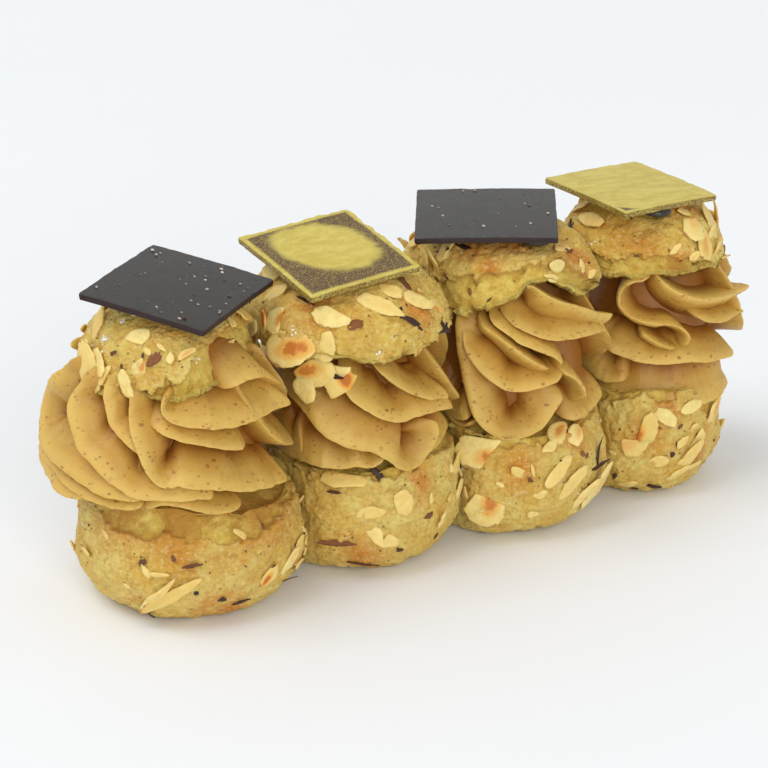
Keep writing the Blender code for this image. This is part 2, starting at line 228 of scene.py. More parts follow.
SWIRLS = (
    (
        Fold(((-180, 52), (-195, 46), (-203, 41), (-200, 36.5), (-184, 34), (-167, 33), (-152, 31),
              (-138, 30), (-127, 30)), soft=9),
        Fold(((-206, 34), (-186, 31), (-168, 29.4), (-152, 28), (-138, 27.8), (-128, 28.4)), 5.2, 4),
        Fold(((-163, 52), (-166, 48.8), (-168, 46), (-165, 43), (-160, 40), (-156, 38.2), (-151, 37),
              (-146, 35.4), (-140, 33.4), (-133, 31.6), (-124, 30.8), (-113, 30.6), (-102, 30.2),
              (-94, 29.2)), 6.2, 6.5),
        Fold(((-152, 51), (-150, 47.8), (-147, 45), (-143, 42.5), (-136, 40.4), (-129, 38.4),
              (-122, 36)), 4.7, 7, 1.0, 0.4, ends=(0.8, 0.7)),
        Fold(((-135, 51), (-133, 48), (-131, 44.8), (-128, 42), (-125, 39), (-122, 36), (-118, 34),
              (-111, 34.2), (-102, 33.2), (-90, 31.8), (-79, 30.2), (-68, 29.2), (-55, 28),
              (-44, 27.4)), 6.0, 6.0, 1.3, 1.8, ends=(0.5, 1.1)),
        Fold(((-127, 43.8), (-119, 43), (-110, 41.6), (-98, 40), (-84, 38.2), (-70, 37)),
             5.2, 5, 1.3, 0.8, ends=(0.5, 0.4)),
        Fold(((-112, 49.5), (-116, 47), (-110, 45.2), (-101, 44.3), (-87, 43.3), (-69, 43), (-52, 42.8),
              (-41, 42.6)), 6.3, 7.5, 1.3, 1.2, ends=(0.8, 1.3)),
        Fold(((-84, 48.5), (-72, 50), (-60, 49.6), (-50, 47.8), (-40, 44.6)),
             6.6, 6, 1.3, 0.8, ends=(0.7, 1.1)),
        Fold(((-131, 26.8), (-121, 29.4), (-114, 29), (-106, 27.8), (-96, 26.4), (-84, 25.4), (-75, 25.4)),
             5.4, 3.4, 1.2, 1.2, ends=(0.8, 0.7)),
        *trailing(-72, 5, 44),
    ),
    (
        Fold(((-188, 41), (-176, 40.2), (-164, 39.2), (-150, 37.8), (-138, 35.6), (-127, 33.6), (-117, 32),
              (-106, 30.4), (-97, 28.2), (-88, 25.4), (-78, 25.4), (-72, 28.6), (-75, 32.6)),
             6.2, 8, 1.3, 2.2, ends=(0.7, 0.8)),
        Fold(((-184, 24.6), (-167, 25.4), (-152, 26), (-139, 26), (-128, 25.8), (-118, 26.4),
              (-108, 25.8), (-101, 27.6)), 5.6, 6, ends=(0.8, 0.8)),
        Fold(((-130, 47.5), (-124, 43.4), (-118, 40.6), (-111, 38.6), (-103, 36.8), (-93, 35.8),
              (-84, 36.1), (-72, 35.8), (-55, 35)), 5.7, 7, 1.3, 1.2, ends=(0.6, 1.2)),
        Fold(((-110, 48.8), (-106, 46.6), (-98, 43.9), (-91, 41.8), (-84, 40), (-73, 38.2), (-58, 37)),
             5.9, 5, 1.3, 0.8, ends=(0.5, 1.2)),
        Fold(((-74, 26), (-52, 25.4), (-30, 27)), 5.0, 6),
        *trailing(-66, 5, 44),
    ),
    (
        Fold(((-155, 50.5), (-153, 46), (-152, 42.6), (-149, 39.2), (-146, 35.8), (-141, 32), (-136, 28.8),
              (-129, 25.9), (-122, 24.5), (-115, 24.8), (-108, 26.2), (-102, 28.8), (-96, 31.6),
              (-91, 33.2)), 6.3, 8, 1.3, 1.8, ends=(0.6, 0.8)),
        Fold(((-151, 47), (-148, 42.8), (-141, 40.2), (-132, 37.6), (-124, 35.6), (-116, 35),
              (-105, 35.4), (-96, 36), (-89, 37.4)), 5.9, 5, 1.2, 0.7, ends=(0.6, 0.8)),
        Fold(((-145, 49), (-140, 47.6), (-127, 44.8), (-116, 42), (-105, 39.2), (-97, 37.4)),
             5.7, 4.5, 1.2, 0.3, 1.0, (0.6, 0.8)),
        Fold(((-136, 50.8), (-132, 49), (-124, 47.2), (-115, 45.1), (-104, 43.1), (-96, 41.4),
              (-92, 39.4), (-94, 37.6)), 6.6, 3.2, 1.2, 0.8, ends=(0.6, 0.9)),
        Fold(((-124, 52), (-116, 54.6), (-110, 55), (-104, 53.6), (-97, 52), (-88, 50.4), (-74, 48.2),
              (-58, 45.4), (-43, 43.2)), 6.2, 6, 1.2, 0.7, 1.0, (0.7, 1.3)),
        Fold(((-130, 50.4), (-115, 47.4), (-101, 45.1), (-85, 44.1), (-66, 43.4), (-48, 42)),
             5.7, 5, 1.2, 0.7, ends=(0.6, 1.1)),
        Fold(((-93, 38.4), (-89, 37.2), (-83, 35.6), (-77, 33), (-74, 30.4), (-77, 28.4)),
             5.8, 3.2, 1.3, 0.8, ends=(0.7, 0.7)),
        Fold(((-174, 28), (-165, 25.9), (-158, 24.5), (-149, 24.5), (-139, 26.5)),
             5.0, 3.0, 1.0, 0.4, 1.0, (0.7, 0.7)),
        Fold(((-178, 31), (-165, 29), (-157, 28), (-148, 29.6)), 5.2, 5, ends=(0.7, 0.7)),
        Fold(((-86, 26), (-60, 25.2), (-34, 27)), 5.0, 6),
        *trailing(-56, 5, 44),
    ),
    (
        Fold(((-124, 50.6), (-130, 49.4), (-139, 48.7), (-145.5, 46.6), (-145.5, 43.8), (-138.5, 41.4),
              (-130, 40.3), (-122, 39.9), (-113, 39.7), (-106, 38.5), (-102, 36.6), (-105, 34.4)),
             6.4, 2.8, 1.2, 0.6, 1.0, (0.8, 0.8)),
        Fold(((-163, 37.4), (-157, 35.7), (-147, 34.3), (-136, 33.2), (-124, 32.4), (-113, 32.3),
              (-99, 32.1), (-84, 31.1), (-70, 30.4), (-56, 30)), 5.9, 5.5, 1.2, 0.8, ends=(0.7, 1.0)),
        Fold(((-133, 38.6), (-128, 37.5), (-119, 35.7), (-106, 34)), 5.6, 3.0, 1.0, 0.3, 1.0, (0.5, 0.8)),
        Fold(((-124, 50.6), (-119, 48.7), (-113, 47.1), (-105, 45.7), (-95, 44.4), (-83, 43.6),
              (-69, 43), (-54, 42.6), (-41, 42.4)), 6.4, 5.0, 1.2, 0.5, 1.0, (0.8, 1.35)),
        Fold(((-184, 20.4), (-166, 20.4), (-143, 20.8), (-126, 21.2), (-108, 21), (-80, 21.6), (-50, 23)),
             6.6, 11, 1.2, 1.0, ends=(0.8, 0.9)),
        Fold(((-98, 42), (-82, 39.6), (-64, 38.8), (-46, 38.6)), 5.6, 3.2, 1.3, 0.8, ends=(0.5, 1.2)),
        *trailing(-58, 5, 46),
    ),
)


def bun_x(index):
    """Where a bun stands along the row, with the row's middle at 0."""
    return (index - (BUN_COUNT - 1) / 2) * BUN_PITCH


def ripple(x, y, seed):
    """An uneven ripple over the whole strip: four crossing waves of 13 to 40 mm, from -1 to 1."""
    draw = np.random.default_rng(seed)
    total = 0.0
    for length in (13.0, 19.0, 27.0, 40.0):
        bearing, phase = draw.uniform(0, 2 * np.pi, 2)
        along = x * np.cos(bearing) + y * np.sin(bearing)
        total = total + np.cos(along * 2 * np.pi / length + phase)
    return total / 4


def wave(turn, seed):
    """An uneven wave round a bun: three cosines with seeded phases, between about -1 and 1."""
    phases = np.random.default_rng(seed).uniform(0, 2 * np.pi, 3)
    return np.cos(np.multiply.outer(turn, [2, 3, 5]) + phases) @ np.array([0.5, 0.3, 0.2])


def cut_height(x, y):
    """The torn top edge of the lower halves, which runs from bun to bun."""
    places = [bun_x(0) - CUT_END, *(bun_x(i) for i in range(BUN_COUNT))]
    levels = [BUNS[0].cut + CUT_END_RISE, *(bun.cut for bun in BUNS)]
    return np.interp(x, places, levels) + CUT_TEAR * ripple(x, y, SEEDS["cut"])


def lid_height(x, y):
    """The torn lower edge of the tops, with the notch in the third one's front."""
    buns = [bun_x(i) for i in range(BUN_COUNT)]
    places = [buns[0] - LID_ENDS[0], *buns, buns[-1] + LID_ENDS[1]]
    first, last = BUNS[0].level - LID_END_DROPS[0], BUNS[-1].level - LID_END_DROPS[1]
    levels = [first, *(bun.level for bun in BUNS), last]
    apart = np.hypot(x - NOTCH_PLACE[0], y - NOTCH_PLACE[1])
    notch = NOTCH_HEIGHT * np.exp(-((apart / NOTCH_WIDTH) ** 2))
    return np.interp(x, places, levels) + LID_TEAR * ripple(x, y, SEEDS["rim"]) + notch


def strip_shift():
    """How far the row's middle lies from the frame's origin, read from the first chocolate square."""
    low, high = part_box("plaque_dark_1")
    middle = (low + high) / (2 * MM)
    square = SQUARES["plaque_dark_1"]
    return np.array([middle.x - bun_x(0) - square.shift[0], middle.y - square.shift[1], 0.0])


# ------------------------------------------------------------
# Numbers on arrays
# ------------------------------------------------------------

def turns(count, start=0.0):
    """Evenly spread turns round a ring, in radians."""
    return (np.arange(count) + start) * (2 * np.pi / count)


def joined(*parts):
    """Places or rows from their single values, spread to one shape."""
    return np.stack(np.broadcast_arrays(*parts), axis=-1)


def step(value, low, high):
    """A smooth step from 0 at low to 1 at high."""
    share = np.clip((value - low) / (high - low), 0.0, 1.0)
    return share * share * (3 - 2 * share)


@lru_cache(maxsize=None)
def lattice(seed):
    """A shuffled order of 256 places and a unit direction for each."""
    draw = np.random.default_rng(seed)
    order = np.tile(draw.permutation(256), 2)
    slopes = draw.normal(size=(256, 3))
    return order, slopes / np.linalg.norm(slopes, axis=1, keepdims=True)


def noise(points, size, seed, octaves=1, rough=0.5):
    """Gradient noise with features of a size in millimetres: every corner of a lattice holds a random
    slope, and a point blends the slopes of its eight corners. Each octave halves size and strength."""
    order, slopes = lattice(seed)
    total = np.zeros(points.shape[:-1])
    strength = 1.0
    for octave in range(octaves):
        place = points / size + 17.3 * octave
        cell = np.floor(place).astype(int)
        part = place - cell
        fade = part**3 * (part * (part * 6 - 15) + 10)
        cell = cell & 255
        for corner in product((0, 1), repeat=3):
            at = (cell + corner) & 255
            key = order[order[order[at[..., 0]] + at[..., 1]] + at[..., 2]]
            reach = ((part - corner) * slopes[key]).sum(-1)
            weight = np.where(corner, fade, 1 - fade).prod(-1)
            total += 1.5 * strength * weight * reach
        size, strength = size / 2, strength * rough
    return total


def pits(points, size, seed, share=0.35):
    """Scattered round dents: 1 at the bottom of a dent and 0 outside, on about a share of the surface."""
    return step(noise(points, size, seed), 0.55 - share, 0.75)


def smooth_line(places, count):
    """A Catmull-Rom curve through a list of places: count points of it, evenly spread over the places."""
    places = np.asarray(places, float)
    padded = np.vstack([2 * places[0] - places[1], places, 2 * places[-1] - places[-2]])
    along = np.linspace(0, len(places) - 1, count)
    start = np.minimum(along.astype(int), len(places) - 2)
    t = (along - start)[:, None]
    a, b, c, d = (padded[start + i] for i in range(4))
    return 0.5 * (2 * b + (c - a) * t + (2 * a - 5 * b + 4 * c - d) * t**2 + (3 * b - a - 3 * c + d) * t**3)


def soft_limit(value, limit, softness):
    """Leaves a value alone up to near a limit and lets it approach the limit smoothly beyond."""
    size = np.abs(value)
    knee = limit - softness
    bent = limit - softness * np.exp(-np.maximum(size - knee, 0) / softness)
    return np.sign(value) * np.where(size > knee, bent, size)


def pressed(x, index, rooms, softness):
    """Flattens a bun or a swirl where it meets its neighbours, at its room on the low and the high side."""
    offset = x - bun_x(index)
    low, high = (soft_limit(offset, room, softness) for room in rooms)
    flat = np.where(offset < 0, low, high)
    keep_low = (offset < 0) & (index == 0)
    keep_high = (offset > 0) & (index == BUN_COUNT - 1)
    return bun_x(index) + np.where(keep_low | keep_high, offset, flat)


def ring(index, shift, radius, turn, rooms, softness):
    """X and Y of a ring round a bun's middle, which is shifted, pressed flat against the neighbours."""
    x = pressed(bun_x(index) + shift[0] + radius * np.cos(turn), index, rooms, softness)
    return x, shift[1] + radius * np.sin(turn)


def grid_normals(points):
    """Unit normals of a grid of points whose columns run round and close, from neighbours' differences."""
    across = np.roll(points, -1, axis=1) - np.roll(points, 1, axis=1)
    along = np.gradient(points, axis=0)
    normal = np.cross(across, along)
    return normal / np.maximum(np.linalg.norm(normal, axis=-1, keepdims=True), 1e-9)


# ------------------------------------------------------------
# Meshes
# ------------------------------------------------------------

def closed_shell(points, offset=0):
    """Points and faces of a closed body from a grid whose columns close round: each end row gets a pole
    at its middle."""
    rows, count = points.shape[:2]
    flat = np.vstack([points.reshape(-1, 3), points[0].mean(0), points[-1].mean(0)])
    number = np.arange(rows * count).reshape(rows, count)
    after = np.roll(number, -1, axis=1)
    quads = joined(number[:-1], after[:-1], after[1:], number[1:]).reshape(-1, 4)
    low = np.full(count, rows * count)
    high = low + 1
    caps = np.concatenate([
        joined(low, after[0], number[0]),
        joined(number[-1], after[-1], high),
    ])
    return flat, quads + offset, caps + offset


def with_poles(value, shape):
    """A value for every point of a closed shell: those of its grid, then the means of its end rows."""
    spread = np.broadcast_to(value, shape)
    return np.append(spread.ravel(), (spread[0].mean(), spread[-1].mean()))


def new_mesh(name, points, quads, triangles=(), attributes=None):
    """A mesh object from whole arrays, in millimetres of the row, with its values per point. What would
    reach below the board is flattened on it."""
    quads = np.asarray(quads, int).reshape(-1, 4)
    triangles = np.asarray(triangles, int).reshape(-1, 3)
    place = (np.asarray(points) + strip_shift()) * MM
    place[:, 2] = np.maximum(place[:, 2], 0.0)
    mesh = bpy.data.meshes.new(name)
    mesh.vertices.add(len(place))
    mesh.vertices.foreach_set("co", place.astype(np.float32).ravel())
    corners = np.concatenate([quads.ravel(), triangles.ravel()])
    mesh.loops.add(len(corners))
    mesh.loops.foreach_set("vertex_index", corners.astype(np.int32))
    starts = np.concatenate([np.arange(len(quads)) * 4, len(quads) * 4 + np.arange(len(triangles)) * 3])
    mesh.polygons.add(len(starts))
    mesh.polygons.foreach_set("loop_start", starts.astype(np.int32))
    for key, values in (attributes or {}).items():
        layer = mesh.attributes.new(key, "FLOAT", "POINT")
        layer.data.foreach_set("value", np.asarray(values, np.float32).ravel())
    mesh.update(calc_edges=True)
    mesh.validate()
    mesh.shade_smooth()
    made = bpy.data.objects.new(name, mesh)
    bpy.context.scene.collection.objects.link(made)
    return made


def finished(piece, material, slot, *nodes):
    """Gives a piece its material, seats it on the bar's one body and hides the nodes it stands for."""
    piece.data.materials.append(material)
    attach(piece, "root")
    if nodes:
        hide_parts(*nodes)
    return piece


# ------------------------------------------------------------
# Crust: the lower halves and the tops
# ------------------------------------------------------------

def profile(*stretches):
    """Rows of a profile: each stretch gives its number of rows and the values that every row holds."""
    return np.vstack([joined(*values) for values in stretches])


def crust_relief(points, seed):
    """Baked crust: broad lumps, cracks and wrinkles with sharp folds, grain and pits, in millimetres."""
    lumps = sum(rise * noise(points, size, seed + i) for i, (rise, size) in enumerate(LUMPS))
    cracks = np.clip(1 - 2.2 * np.abs(noise(points, CRACK_SIZE, seed + 2, 3, 0.6)), 0, 1) ** 3
    grain = GRAIN_HEIGHT * noise(points, GRAIN_SIZE, seed + 4, 3, 0.75)
    return lumps - CRACK_DEPTH * cracks + grain - PIT_DEPTH * pits(points, PIT_SIZE, seed + 3, 0.2)


def crumb_relief(points, seed):
    """Torn crumb: a spongy wall of open bubbles of several sizes, drawn out upwards, in millimetres."""
    drawn = points * (1, 1, 0.6)
    bubbles = sum(deep * pits(drawn, size, seed + 5 + i, 0.5) for i, (deep, size) in enumerate(BUBBLES))
    return CRUMB_HEIGHT * noise(points, CRUMB_SIZE, seed + 7, 4, 0.6) - bubbles


def near_turn(turn, middle, spread):
    """1 at a turn round a bun and 0 further than a spread from it, in degrees."""
    apart = np.abs((np.degrees(turn) - middle + 180) % 360 - 180)
    return 1 - step(apart, 0.35 * spread, spread)


def torn_crust(points, torn, seed, depth):
    """Sinks the crumb below the crust's torn edge and lays the relief of both over the surface."""
    normal = grid_normals(points)
    relief = crust_relief(points, seed) * (1 - torn) + torn * (crumb_relief(points, seed) - depth)
    return points + normal * relief[..., None]


@lru_cache(maxsize=None)
def base_surface(index):
    """A lower half as a grid: a flat spot, a quarter ellipse out to the widest place, a curve in to the
    cut, the crust's thickness, and the crumb swelling up under the cream. Returns the points and how
    torn each is."""
    bun = BUNS[index]
    turn = turns(CRUST_TURNS)
    low = np.linspace(0, np.pi / 2, LOW_ROWS)
    up = np.linspace(0, 1, UP_ROWS + 1)[1:]
    inside = np.linspace(0, 1, INSIDE_ROWS + 1)[1:]
    rows = profile(
        (BASE_CONTACT * np.array(FLAT_RINGS), 0.0, 0.0, 0.0),
        (BASE_CONTACT + (1 - BASE_CONTACT) * np.sin(low), 0.0, BASE_WIDEST * (1 - np.cos(low)), 0.0),
        (1 - (1 - BASE_RIM) * up**2, 0.0, BASE_WIDEST * (1 - up), up),
        (BASE_RIM, CRUST * inside, 0.7 * np.sin(inside * np.pi), 1.0),
        (BASE_RIM * (1 - 0.5 * inside), CRUST + DISH_INSET, CRUMB_RISE * np.sin(inside * np.pi / 2), 1.0),
    )
    share, inset, rise, follow = (rows[:, i, None] for i in range(4))
    radius = bun.base_radius * (1 + BASE_UNEVEN * wave(turn, index)) * share - inset
    x, y = ring(index, bun.base_shift, radius, turn, (MEETING, MEETING), PRESS_SOFTNESS["base"])
    front = near_turn(turn, bun.torn_at[0], TORN_SPREAD["base"])
    top = cut_height(x, y) + (FIRST_RIM_RISE * front if index == 0 else RIM_RISE)
    points = joined(x, y, rise + follow * top)
    ragged = noise(points * (1, 1, 0.35), 3.4, SEEDS["base_edge"] + index, 3, 0.65)
    edge = top - 0.5 - bun.base_tear * (0.25 + 0.75 * front) + 1.5 * ragged
    torn = np.where(follow > 0.02, step(points[..., 2], edge, edge + 0.35), 0.0)
    torn = np.where(inset > 0, 1.0, torn)
    return torn_crust(points, torn, SEEDS["base_relief"] + 9 * index, TORN_DEPTH["base"]), torn


@lru_cache(maxsize=None)
def lid_surface(index):
    """A torn top as a grid: its underside on the cream, the edge, and the dome, whose radius falls as
    one less a power of the height. Returns the points and how torn each is."""
    bun = BUNS[index]
    turn = turns(CRUST_TURNS)
    under = np.linspace(0.45, 1, UNDER_ROWS + 1)[:-1]
    lift = np.concatenate([np.linspace(0, 0.5, 58), np.linspace(0.5, 0.995, 50)[1:]])
    rows = profile(
        (under, CRUST * under, 0.0),
        ((1 - lift**DOME_SIDE) ** (1 / DOME_TOP), 0.0, lift),
    )
    share, inset, lift = (rows[:, i, None] for i in range(3))
    outline = bun.lid_radius * (1 + LID_UNEVEN * wave(turn, SEEDS["lid_outline"] + index))
    outline = outline * (1 - bun.bitten * near_turn(turn, BITTEN_AT, BITE_SPREAD))
    rooms = (MEETING + MEET_LEFT * (index == 1), MEETING - MEET_LEFT * (index == 0))
    x, y = ring(index, bun.lid_shift, outline * share - inset, turn, rooms, PRESS_SOFTNESS["lid"])
    level = lid_height(x, y)
    summit = lid_height(bun_x(index) + bun.lid_shift[0], bun.lid_shift[1]) + bun.rise
    frayed = 1.1 * noise(joined(x, y, level), 7.0, SEEDS["lid_fray"] + index, 4, 0.55) * (share > 0.6)
    points = joined(x, y, (level + frayed) * (1 - lift) + summit * lift)
    front = near_turn(turn, bun.torn_at[1], TORN_SPREAD["lid"])
    ragged = noise(points * (1, 1, 0.4), 3.6, SEEDS["lid_edge"] + index, 3, 0.65)
    edge = bun.lid_tear * (0.25 + 0.75 * front) + 0.12 * ragged
    torn = np.where(inset > 0, 1.0, 1 - step(lift, edge, edge + 0.03))
    return torn_crust(points, torn, SEEDS["lid_relief"] + 9 * index, TORN_DEPTH["lid"]), torn


TOAST_SPOTS = (
    ("lid", 3, -66, 59.3, 2.8), ("lid", 3, -129, 58.5, 2.0), ("lid", 4, -130, 57.5, 4.0),
    ("lid", 4, -60, 61.0, 3.5), ("base", 3, -114, 17.0, 4.5), ("base", 3, -76, 22.5, 3.5),
    ("base", 4, -120, 17.0, 4.0), ("base", 4, -98, 21.0, 3.0), ("lid", 2, -66, 55.0, 3.5),
    ("base", 1, -62, 21.0, 6.5), ("base", 1, -125, 22.5, 6.5), ("base", 1, -94, 22.0, 6.5),
    ("base", 1, -155, 23.0, 6.0), ("lid", 1, -70, 52.0, 5.0), ("lid", 1, -118, 60.0, 4.0),
    ("lid", 2, -142, 57.0, 4.5), ("base", 2, -81, 20.0, 3.5), ("base", 1, -100, 4.0, 5.0),
    ("base", 2, -118, 6.0, 5.0), ("lid", 4, -100, 52.0, 3.0), ("base", 4, -75, 9.0, 4.0),
    ("lid", 3, -112, 62.0, 5.0), ("lid", 3, -150, 61.0, 4.0), ("lid", 3, -58, 57.0, 4.0),
    ("base", 1, 60, 14.0, 6.0), ("base", 3, 80, 15.0, 5.0), ("lid", 2, 100, 58.0, 5.0),
)


def toasting(points, half, index):
    """How far the oven has toasted each place: round spots at chosen places that fade outwards."""
    total = np.zeros(points.shape[:-1])
    for part, bun, turn, height, reach in TOAST_SPOTS:
        if (part, bun) == (half, index + 1):
            apart = np.linalg.norm(points - surface_spot(part, bun, turn, height)[0], axis=-1)
            total = total + np.exp(-((apart / reach) ** 2))
    return total


def build_crust(half, surface, material, node):
    """One piece for each bun's half, which keeps on every point how torn and how toasted it is."""
    for index in range(BUN_COUNT):
        points, torn = surface(index)
        values = {"torn": torn, "toast": toasting(points, half, index)}
        piece = merged(f"{half}_crust_{index + 1}", [points], [values])
        finished(piece, material, "choux", node)


# ------------------------------------------------------------
# Cream
# ------------------------------------------------------------

def cream_envelope(share):
    """The outline of the lips from foot to lid, as a share of the swirl's radius: full at the middle,
    drawn in at both ends."""
    below = 1 - FOOT_DRAW * np.clip(1 - share / FULL_FROM, 0, 1) ** 2
    above = 1 - TOP_DRAW * np.clip((share - FULL_TO) / (1 - FULL_TO), 0, 1) ** 2
    return below * above


def on_swirl(index, turn, height, out):
    """Places on a swirl: out is how far they lie outside the outline of its lips. The swirl is pressed
    flat against its neighbours."""
    bun = BUNS[index]
    share = np.clip((height - bun.cut) / (bun.level - bun.cut), 0, 1)
    radius = bun.cream_radius * cream_envelope(share) + out
    rooms = (CREAM_ROOM, CREAM_ROOM)
    x, y = ring(index, bun.cream_shift, radius, turn, rooms, PRESS_SOFTNESS["cream"])
    return joined(x, y, height)


def cream_grain(points, seed):
    """The dragged, slightly uneven face of piped cream, laid over a grid along its normals."""
    uneven = 0.15 * noise(points, 4.5, seed, 2) + 0.05 * noise(points, 1.1, seed + 1, 2)
    return points + grid_normals(points) * uneven[..., None]


def swirl_core(index, depth):
    """The inner body of a swirl, which shows at the bottom of the grooves: a ring profile carried round,
    sunk below the lips by their depth and tucked into the dish and under the lid."""
    bun = BUNS[index]
    turn = turns(CORE_TURNS)
    share = np.linspace(-0.06, 1.03, CORE_ROWS)[:, None]
    flat = on_swirl(index, turn, bun.cut + 0 * share, -depth)
    low, high = cut_height(flat[..., 0], flat[..., 1]), lid_height(flat[..., 0], flat[..., 1])
    height = low + share * (high - low)
    points = on_swirl(index, turn + 0 * share, height, -depth - 0.6)
    wander = 0.5 * noise(points, 9.0, SEEDS["core_wander"] + index)
    points = points + grid_normals(points) * wander[..., None]
    return cream_grain(points, SEEDS["core_grain"] + index)


def fold_shell(index, fold, depth, seed):
    """One fold as a closed body. Its lip runs along a smooth line on the unrolled side. Across the line
    the face rises almost straight from the core to a blunt lip, which leans over a steep, undercut
    flank. Where the line bends towards the face, the face gets narrower. Returns the points and how deep
    in the grooves each lies, which the cream's colour turns into painted shade in the grooves and a
    painted highlight on the lips."""
    radius = BUNS[index].cream_radius
    line = smooth_line(fold.line, LINE_POINTS)
    line = joined(np.radians(line[:, 0]) * radius, line[:, 1])
    gone = np.concatenate([[0], np.cumsum(np.linalg.norm(np.diff(line, axis=0), axis=1))])
    rows = max(FEWEST_FOLD_ROWS, int(gone[-1] / FOLD_ROW))
    along = np.linspace(0, gone[-1], rows)
    line = joined(*(np.interp(along, gone, line[:, i]) for i in range(2)))
    run = np.gradient(line, along, axis=0)
    run /= np.linalg.norm(run, axis=1, keepdims=True)
    away = joined(-run[:, 1], run[:, 0]) * fold.side
    bend = -(np.gradient(run, along, axis=0) * away).sum(-1)
    bend = np.pad(np.maximum(bend, 0), BEND_SPAN // 2, "edge")
    bend = np.convolve(bend, np.ones(BEND_SPAN) / BEND_SPAN, "valid")
    share = along / along[-1]
    wave_line = joined(along, 7.0 * seed, 0.0)
    strength = np.interp(share, (0, 0.16, 0.84, 1), (fold.ends[0], 1, 1, fold.ends[1]))
    for i, (wander, size) in enumerate(FOLD_WAVES):
        strength = strength + wander * noise(wave_line, size, seed + i)
    to_end = np.minimum(along / END_ROUND, (along[-1] - along) / END_ROUND)
    closing = np.sqrt(np.clip(1 - (1 - np.clip(to_end, 0, 1)) ** 2, 0.0025, 1))
    soft = fold.soft / (1 + 0.9 * fold.soft * bend) * closing
    sharp = fold.sharp * closing
    place = np.linspace(-1, 1, FOLD_COLUMNS)
    reach = np.sign(place) * np.abs(place) ** 1.6
    width = np.where(place < 0, soft[:, None], sharp[:, None])
    across = reach * width
    blunt = np.sqrt(across**2 + LIP_BLUNT**2) - LIP_BLUNT
    full = np.sqrt(width**2 + LIP_BLUNT**2) - LIP_BLUNT
    fall = (blunt / full) ** np.where(place < 0, FACE_FALL, FLANK_FALL)
    bead = BEAD_RISE * np.exp(-((across / BEAD_WIDTH) ** 2)) * closing[:, None]
    rise = fold.lift * (strength * (0.55 + 0.45 * closing))[:, None] * (1 - fall)
    rise = rise - FOOT_SINK * fall + bead
    across = across + fold.lean * (strength * closing)[:, None] * np.clip(1 - fall, 0, 1) ** 1.3
    below = np.linspace(across[:, -1], across[:, 0], SKIRT_COLUMNS + 2)[1:-1].T
    across = np.concatenate([across, below], axis=1)
    rise = np.concatenate([rise, np.full(below.shape, -SKIRT_SINK)], axis=1)
    flat = line[:, None] + away[:, None] * across[..., None]
    points = on_swirl(index, flat[..., 0] / radius, flat[..., 1], rise - depth)
    if fold.side > 0:
        points = points[:, ::-1]
        rise = rise[:, ::-1]
    return cream_grain(points, seed + 2), {"deep": np.clip(1 - rise / fold.lift, 0, 1)}


def swirl_shells(index, depth):
    """All bodies of a swirl, each with its depth in the grooves for the painted shade and highlight: the
    core and its folds.
    """
    yield swirl_core(index, depth), {"deep": 1.0}
    for number, fold in enumerate(SWIRLS[index]):
        yield fold_shell(index, fold, depth, SEEDS["folds"] + 40 * index + 3 * number)


# ------------------------------------------------------------
# Chocolate
# ------------------------------------------------------------

@dataclass(frozen=True)
class Square:
    """One chocolate square: its sides, the place of its middle from the bun's, and how it is turned."""

    sides: tuple
    shift: tuple
    height: float
    spin: float
    tilt: tuple


SQUARES = {
    "plaque_dark_1": Square((26.9, 27.9), (-3.7, 0.0), 62.9, -57.3, (5.9, 2.4)),
    "plaque_gold_2": Square((26.8, 25.2), (-5.6, 0.4), 63.2, -87.8, (8.7, -2.5)),
    "plaque_dark_3": Square((28.4, 27.5), (-4.8, 0.0), 64.6, -33.1, (0.6, -1.6)),
    "plaque_gold_4": Square((25.2, 25.5), (-4.0, 0.7), 63.5, -84.0, (1.1, 3.6)),
}
GOLD_SWEEPS = {"plaque_gold_2": ("gold_patch", 0.95, 0.24), "plaque_gold_4": ("gold_full", 3.4, 0.12)}
DARK_FRAY = 0.09
SHARP_FROM = 50.0
SQUARE_THICKNESS = 1.2
SQUARE_BOW = 0.35
SQUARE_TURNS = 320
SQUARE_RINGS = 24
CORNER_REACH = 1.405
DAB_RADIUS = 3.2
DAB_HEIGHT = 1.1
DABS = {"dab_3": ("plaque_dark_3", (9.9, -9.6)), "dab_4": ("plaque_gold_4", (10.2, -2.0))}


def square_frame(name):
    """The place and the turning matrix of a chocolate square."""
    square = SQUARES[name]
    tilt = [np.radians(value) for value in (*square.tilt, square.spin)]
    turned = np.array(Euler(tilt, "ZYX").to_matrix())
    place = (bun_x(list(SQUARES).index(name)) + square.shift[0], square.shift[1], square.height)
    return np.array(place), turned


